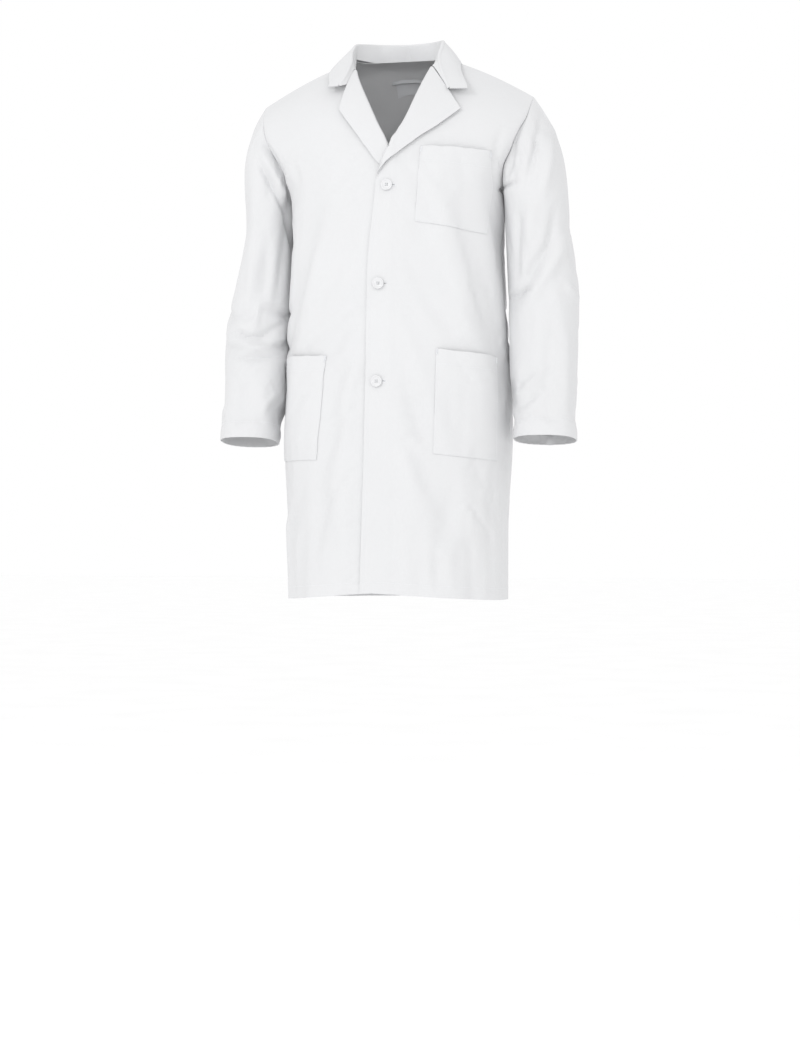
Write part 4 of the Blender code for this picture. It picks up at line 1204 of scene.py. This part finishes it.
def make_pocket(name, side, place):
    wide, tall = pocket_size(place)
    word = "left" if side > 0 else "right"
    columns, rows = steps(0, 1, wide), steps(0, 1, tall)
    grid = pocket_point(side, place, columns[None], rows[:, None])
    low = 1 - POCKET_HEM / tall
    flat = np.zeros(grid.shape[:2])
    piece = hemmed(f"{name}_cloth", grid, grid_normals(grid, (0, -1, 0)), flat, rows >= low)
    finish_piece(piece, COTTON, f"front_{word}_body", [name, f"{name}_mouth_band"])
    flat_size(grid)

    def surface(u, t):
        return pocket_point(side, place, u, t)

    lines = []
    for inset in POCKET_SEAMS:
        u, t = inset / wide, inset / tall
        down, over = np.linspace(1, t, 60), np.linspace(u, 1 - u, 40)
        path_u = np.concatenate([0 * down + u, over[1:-1], 0 * down + 1 - u])
        path_t = np.concatenate([down, 0 * over[1:-1] + t, down[::-1]])
        lines.append(line_on(surface, side, path_u, path_t, 0.01, 0.01))
    over = np.linspace(0.01, 0.99, 40)
    lines.append(line_on(surface, side, over, 0 * over + low, 0.01, 0.005))
    seams = stitches(f"{name}_stitching", lines)
    finish_piece(seams, THREAD, f"front_{word}_body")
    t = 0.995 - np.linspace(0, 1, 12) * 0.009 / tall
    for end, u in (("inner", 0.02), ("outer", 0.98)):
        columns = [u + shift / wide + 0 * t for shift in (-0.0009, 0, 0.0009)]
        lines = [line_on(surface, side, column, t, 0.01, 0.005) for column in columns]
        tack = stitches(f"{name}_bar_tack_{end}", lines, 0.0002, 0.0016, 0.0009, 0.0005)
        finish_piece(tack, THREAD, f"front_{word}_body", [f"{name}_bartack_{end}"])


# ---------------------------------------------------------------- buttons
BUTTON_PROFILE = [  # from the middle of the back to the middle of the front, in radii and heights
    (0, 0), (0.80, 0), (0.93, 0.16), (0.99, 0.42), (1, 0.62), (0.975, 0.86), (0.90, 1),
    (0.80, 0.95), (0.70, 0.70), (0.62, 0.58), (0.5, 0.55), (0, 0.52),
]
HOLE_R, HOLE_OUT = 0.0010, 0.0021
HOLE_TURNS = [math.pi / 4 + k * math.pi / 2 for k in range(4)]
THREAD_OUT, SHANK_R = 0.0019, 0.0006


def on_circle(radius, turn, height):
    return (radius * math.cos(turn), radius * math.sin(turn), height)


def button_disc(name):
    """A round button with a sunken middle and four holes, lying at the origin."""
    turns = 48
    points, faces, rings = [], [], []
    for radius, height in BUTTON_PROFILE:
        radius, height = radius * BUTTON_R, height * BUTTON_T
        count = turns if radius else 1
        rings.append([len(points) + k % count for k in range(turns)])
        points += [on_circle(radius, 2 * math.pi * k / turns, height) for k in range(count)]
    for first, second in zip(rings, rings[1:]):
        for k in range(turns):
            n = (k + 1) % turns
            faces.append(list(dict.fromkeys((first[k], first[n], second[n], second[k]))))
    disc = add_mesh(name, points, faces, sharp=60)
    cutters = []
    for turn in HOLE_TURNS:
        place = on_circle(HOLE_OUT, turn, 0)
        bpy.ops.mesh.primitive_cylinder_add(vertices=16, radius=HOLE_R, depth=0.02, location=place)
        cutters.append(bpy.context.object)
    cutter = join("holes", cutters)
    cut = disc.modifiers.new("holes", "BOOLEAN")
    cut.object, cut.operation, cut.solver = cutter, "DIFFERENCE", "EXACT"
    bpy.context.view_layer.objects.active = disc
    bpy.ops.object.modifier_apply(modifier="holes")
    bpy.data.objects.remove(cutter)
    disc.data.shade_smooth()
    disc.data.set_sharp_from_angle(angle=math.radians(50))
    return disc


def button_threads():
    """The paths of the thread at a button: crosswise over its face, then down its shank."""
    paths = []
    for sign in (1, -1):
        for shift in (-0.0003, 0.0003):
            a = Vector(on_circle(HOLE_OUT, sign * math.pi / 4, 0)) + Vector((0, shift, 0))
            b = -a + Vector((0, 2 * shift, 0))
            path = np.array([a.lerp(b, k / 8) for k in range(9)])
            bow = 0.0006 * np.sin(np.linspace(0, math.pi, 9))
            path[:, 2] = BUTTON_T * 0.56 + bow + (0.0003 if sign > 0 else 0)
            paths.append(path)
    for turn in HOLE_TURNS:
        top = Vector(on_circle(THREAD_OUT, turn, BUTTON_T * 0.5))
        low = Vector(on_circle(SHANK_R, turn, 0.0002 - LEFT_OVER_RIGHT - BUTTON_STAND))
        paths.append(np.array([top.lerp(low, k / 8) for k in range(9)]))
    return paths


def tube(name, path, radius, around=6):
    ahead = unit(np.gradient(path, axis=0))
    side = unit(np.cross(ahead, [0.3, 0.2, 0.93]))
    up = np.cross(ahead, side)
    turns = np.arange(around) * 2 * math.pi / around
    points = []
    for p, s, u in zip(path, side, up):
        points += [p + (s * math.cos(a) + u * math.sin(a)) * radius for a in turns]
    faces = [face[::-1] for face in tube_faces(0, len(path), around)]
    return add_mesh(name, points, faces, sharp=80)


def make_button(word, z):
    """A button on the right front, its thread, and its buttonhole in the left front."""
    place = np.array(0.0), np.array(BUTTON_V[word])
    out = body_normal(-1, False, *place)
    base = Vector(body(-1, False, *place) + out * (LEFT_OVER_RIGHT + BUTTON_STAND))
    tilt = Vector((0, 0, 1)).rotation_difference(Vector(out)).to_matrix()
    piece = button_disc(f"button_disc_{word}")
    move = tilt.to_4x4()
    move.translation = base
    piece.data.transform(move)
    finish_piece(piece, PLASTIC, "front_right_body", [f"button_{word}"])
    tubes = []
    for path in button_threads():
        tubes.append(tube("tmp", np.array([base + tilt @ Vector(p) for p in path]), 0.00028))
    shank = join(f"button_thread_{word}", tubes)
    finish_piece(shank, THREAD, "front_right_body", [f"thread_shank_{word}"])
    make_buttonhole(word, z)


def make_buttonhole(word, z):
    start = float(inner_line(1, False, np.array(BUTTON_V[word]))[0])

    def surface(x, up):
        return front_at(1, start + x, z + up, 0.0)

    strokes = []  # each at an x, from a low place to a high one
    for x in np.arange(*BUTTONHOLE, 0.00048):
        strokes += [(x, 0.0003, 0.0019), (x, -0.0019, -0.0003)]
    for end in BUTTONHOLE:
        strokes += [(end + shift, -0.0020, 0.0020) for shift in np.linspace(-0.0008, 0.0008, 5)]
    lines = []
    for x, low, high in strokes:
        up = np.linspace(low, high, 3)
        points, normals = line_on(surface, 1, x + 0 * up, up, 0.001, 0.001)
        lines.append((points, -normals if normals[0, 1] > 0 else normals))
    piece = stitches(f"worked_buttonhole_{word}", lines, 0.0001, 0.0017, 0.0016, 0.00026)
    finish_piece(piece, THREAD, "front_left_body", [f"buttonhole_{word}"])


# ---------------------------------------------------------------- stitching on the panels
def sew(name, lines, bodies):
    finish_piece(stitches(name, lines), THREAD, bodies)


def make_stitching(side, word):
    def front(c, v):
        return front_sheet(side, c, v)

    def back(angle, v):
        return off_body(side, True, angle, v, 0)

    def arm(turn, row):
        return off_sleeve(side, turn, row, 0)

    hem_v = HEM / V_LENGTH
    across, up = np.linspace(-0.998, 0.97, 90), np.linspace(0.003, GORGE_V - 0.006, 260)
    edge_c = 1 - 0.006 / (OVERLAP + 0.05 * smooth(FOLD_FOOT, 0.90, up))
    lines = [line_on(front, -side, across, 0 * across + hem_v)]
    points, normals = line_on(front, -side, edge_c, up)
    folded = up > FOLD_TOP  # where the lapel shows its other face
    lines.append((points[~folded], normals[~folded]))
    lines.append((points[folded] - normals[folded] * (2 * LAYER + CLOTH), -normals[folded]))
    sew(f"front_{word}_stitching", lines, f"front_{word}_body")
    angles, up = np.linspace(0.01, 1.56, 80), np.linspace(0.003, NECK_V - 0.002, 240)
    lines = [line_on(back, -side, angles, 0 * angles + hem_v)]
    for inset in (0.0015, 0.0075):
        lines.append(line_on(back, -side, 0 * up + inset / BODY_HALF, up))
    sew(f"back_{word}_stitching", lines, "coat_body")
    around = np.linspace(-0.999, 0.999, 140)
    cuff_row = 1 - CUFF_HEM / SLEEVE_LENGTH
    lines = [line_on(arm, -side, around, 0 * around + cuff_row, 0.01, 0.004)]
    sew(f"sleeve_{word}_stitching", lines, f"sleeve_{word}_body")


def make_collar_stitching():
    places = np.linspace(-0.97, 0.97, 260)
    points, normals = line_on(collar_sheet, 1, places, 0 * places + 2.86, 0.004, 0.02)
    normals = normals if normals[130, 1] > 0 else -normals
    lines = [(points + normals * (LAYER + CLOTH / 2), normals)]
    sew("collar_stitching", lines, "coat_body")


for side, word in SIDES:
    make_front(side, word)
    make_back(side, word)
    make_sleeve(side, word)
make_inner_piece(
    "vent_underlap_cloth", "vent_underlap", 13, 0.003, 0.33, (15, 75), -0.0022
)
make_inner_piece(
    "neck_facing_cloth", "back_neck_facing", 30, 0.815, 0.985, (41, 36), -0.0024,
)
make_label()
make_hanger_loop()
make_collar()
make_pocket("chest_pocket", 1, CHEST_POCKET)
make_pocket("lower_pocket_left", 1, LOWER_POCKET[1])
make_pocket("lower_pocket_right", -1, LOWER_POCKET[-1])
for word, z in BUTTONS.items():
    make_button(word, z)
for side, word in SIDES:
    make_stitching(side, word)
make_collar_stitching()


# ---------------------------------------------------------------- floor, light and camera
def area_light(name, place, toward, size, power, colour=(1, 1, 1)):
    data = bpy.data.lights.new(name, "AREA")
    data.shape, data.size, data.energy, data.color = "SQUARE", size, power, colour
    light = bpy.data.objects.new(name, data)
    light.location = place
    light.rotation_euler = (Vector(toward) - Vector(place)).to_track_quat("-Z", "Y").to_euler()
    bpy.context.scene.collection.objects.link(light)


FLOOR_Z = -1.66
bpy.ops.mesh.primitive_plane_add(size=60, location=(0, 0, FLOOR_Z))
floor = bpy.context.object
floor.name = "floor"
pale = plain_material("pale_floor", (0.98, 0.98, 0.98), 0.9, 3, 0.0)
pale_shader = pale.node_tree.nodes["Principled BSDF"]
pale_shader.inputs["Emission Color"].default_value = (1, 1, 1, 1)
pale_shader.inputs["Emission Strength"].default_value = 0.04  # so the floor fades into the sky
floor.data.materials.append(pale)

world = bpy.data.worlds.new("studio")
world.use_nodes = True
world.node_tree.nodes["Background"].inputs["Color"].default_value = (1, 1, 1, 1)
world.node_tree.nodes["Background"].inputs["Strength"].default_value = 1.0
bpy.context.scene.world = world
area_light("key", (-1.7, -3.2, 1.4), (0, 0, -0.4), 0.9, 22)
area_light("fill", (1.1, -3.9, -0.2), (0.05, 0, -0.5), 0.9, 20)

AZIMUTH, DISTANCE, VIEW_W = math.radians(13), 4.1, 1.396  # VIEW_W: as wide as the frame is there
EYE_Z, ASIDE = -0.8045, 0.003
data = bpy.data.cameras.new("camera")
data.sensor_fit, data.sensor_width = "HORIZONTAL", 36
data.lens = 36 * DISTANCE / VIEW_W
camera = bpy.data.objects.new("camera", data)
right = Vector((math.cos(AZIMUTH), math.sin(AZIMUTH), 0))
camera.location = Vector((math.sin(AZIMUTH), -math.cos(AZIMUTH), 0)) * DISTANCE + right * ASIDE
camera.location.z = EYE_Z
camera.rotation_euler = (math.pi / 2, 0, AZIMUTH)
bpy.context.scene.collection.objects.link(camera)
bpy.context.scene.camera = camera
bpy.context.scene.view_settings.view_transform = "Standard"
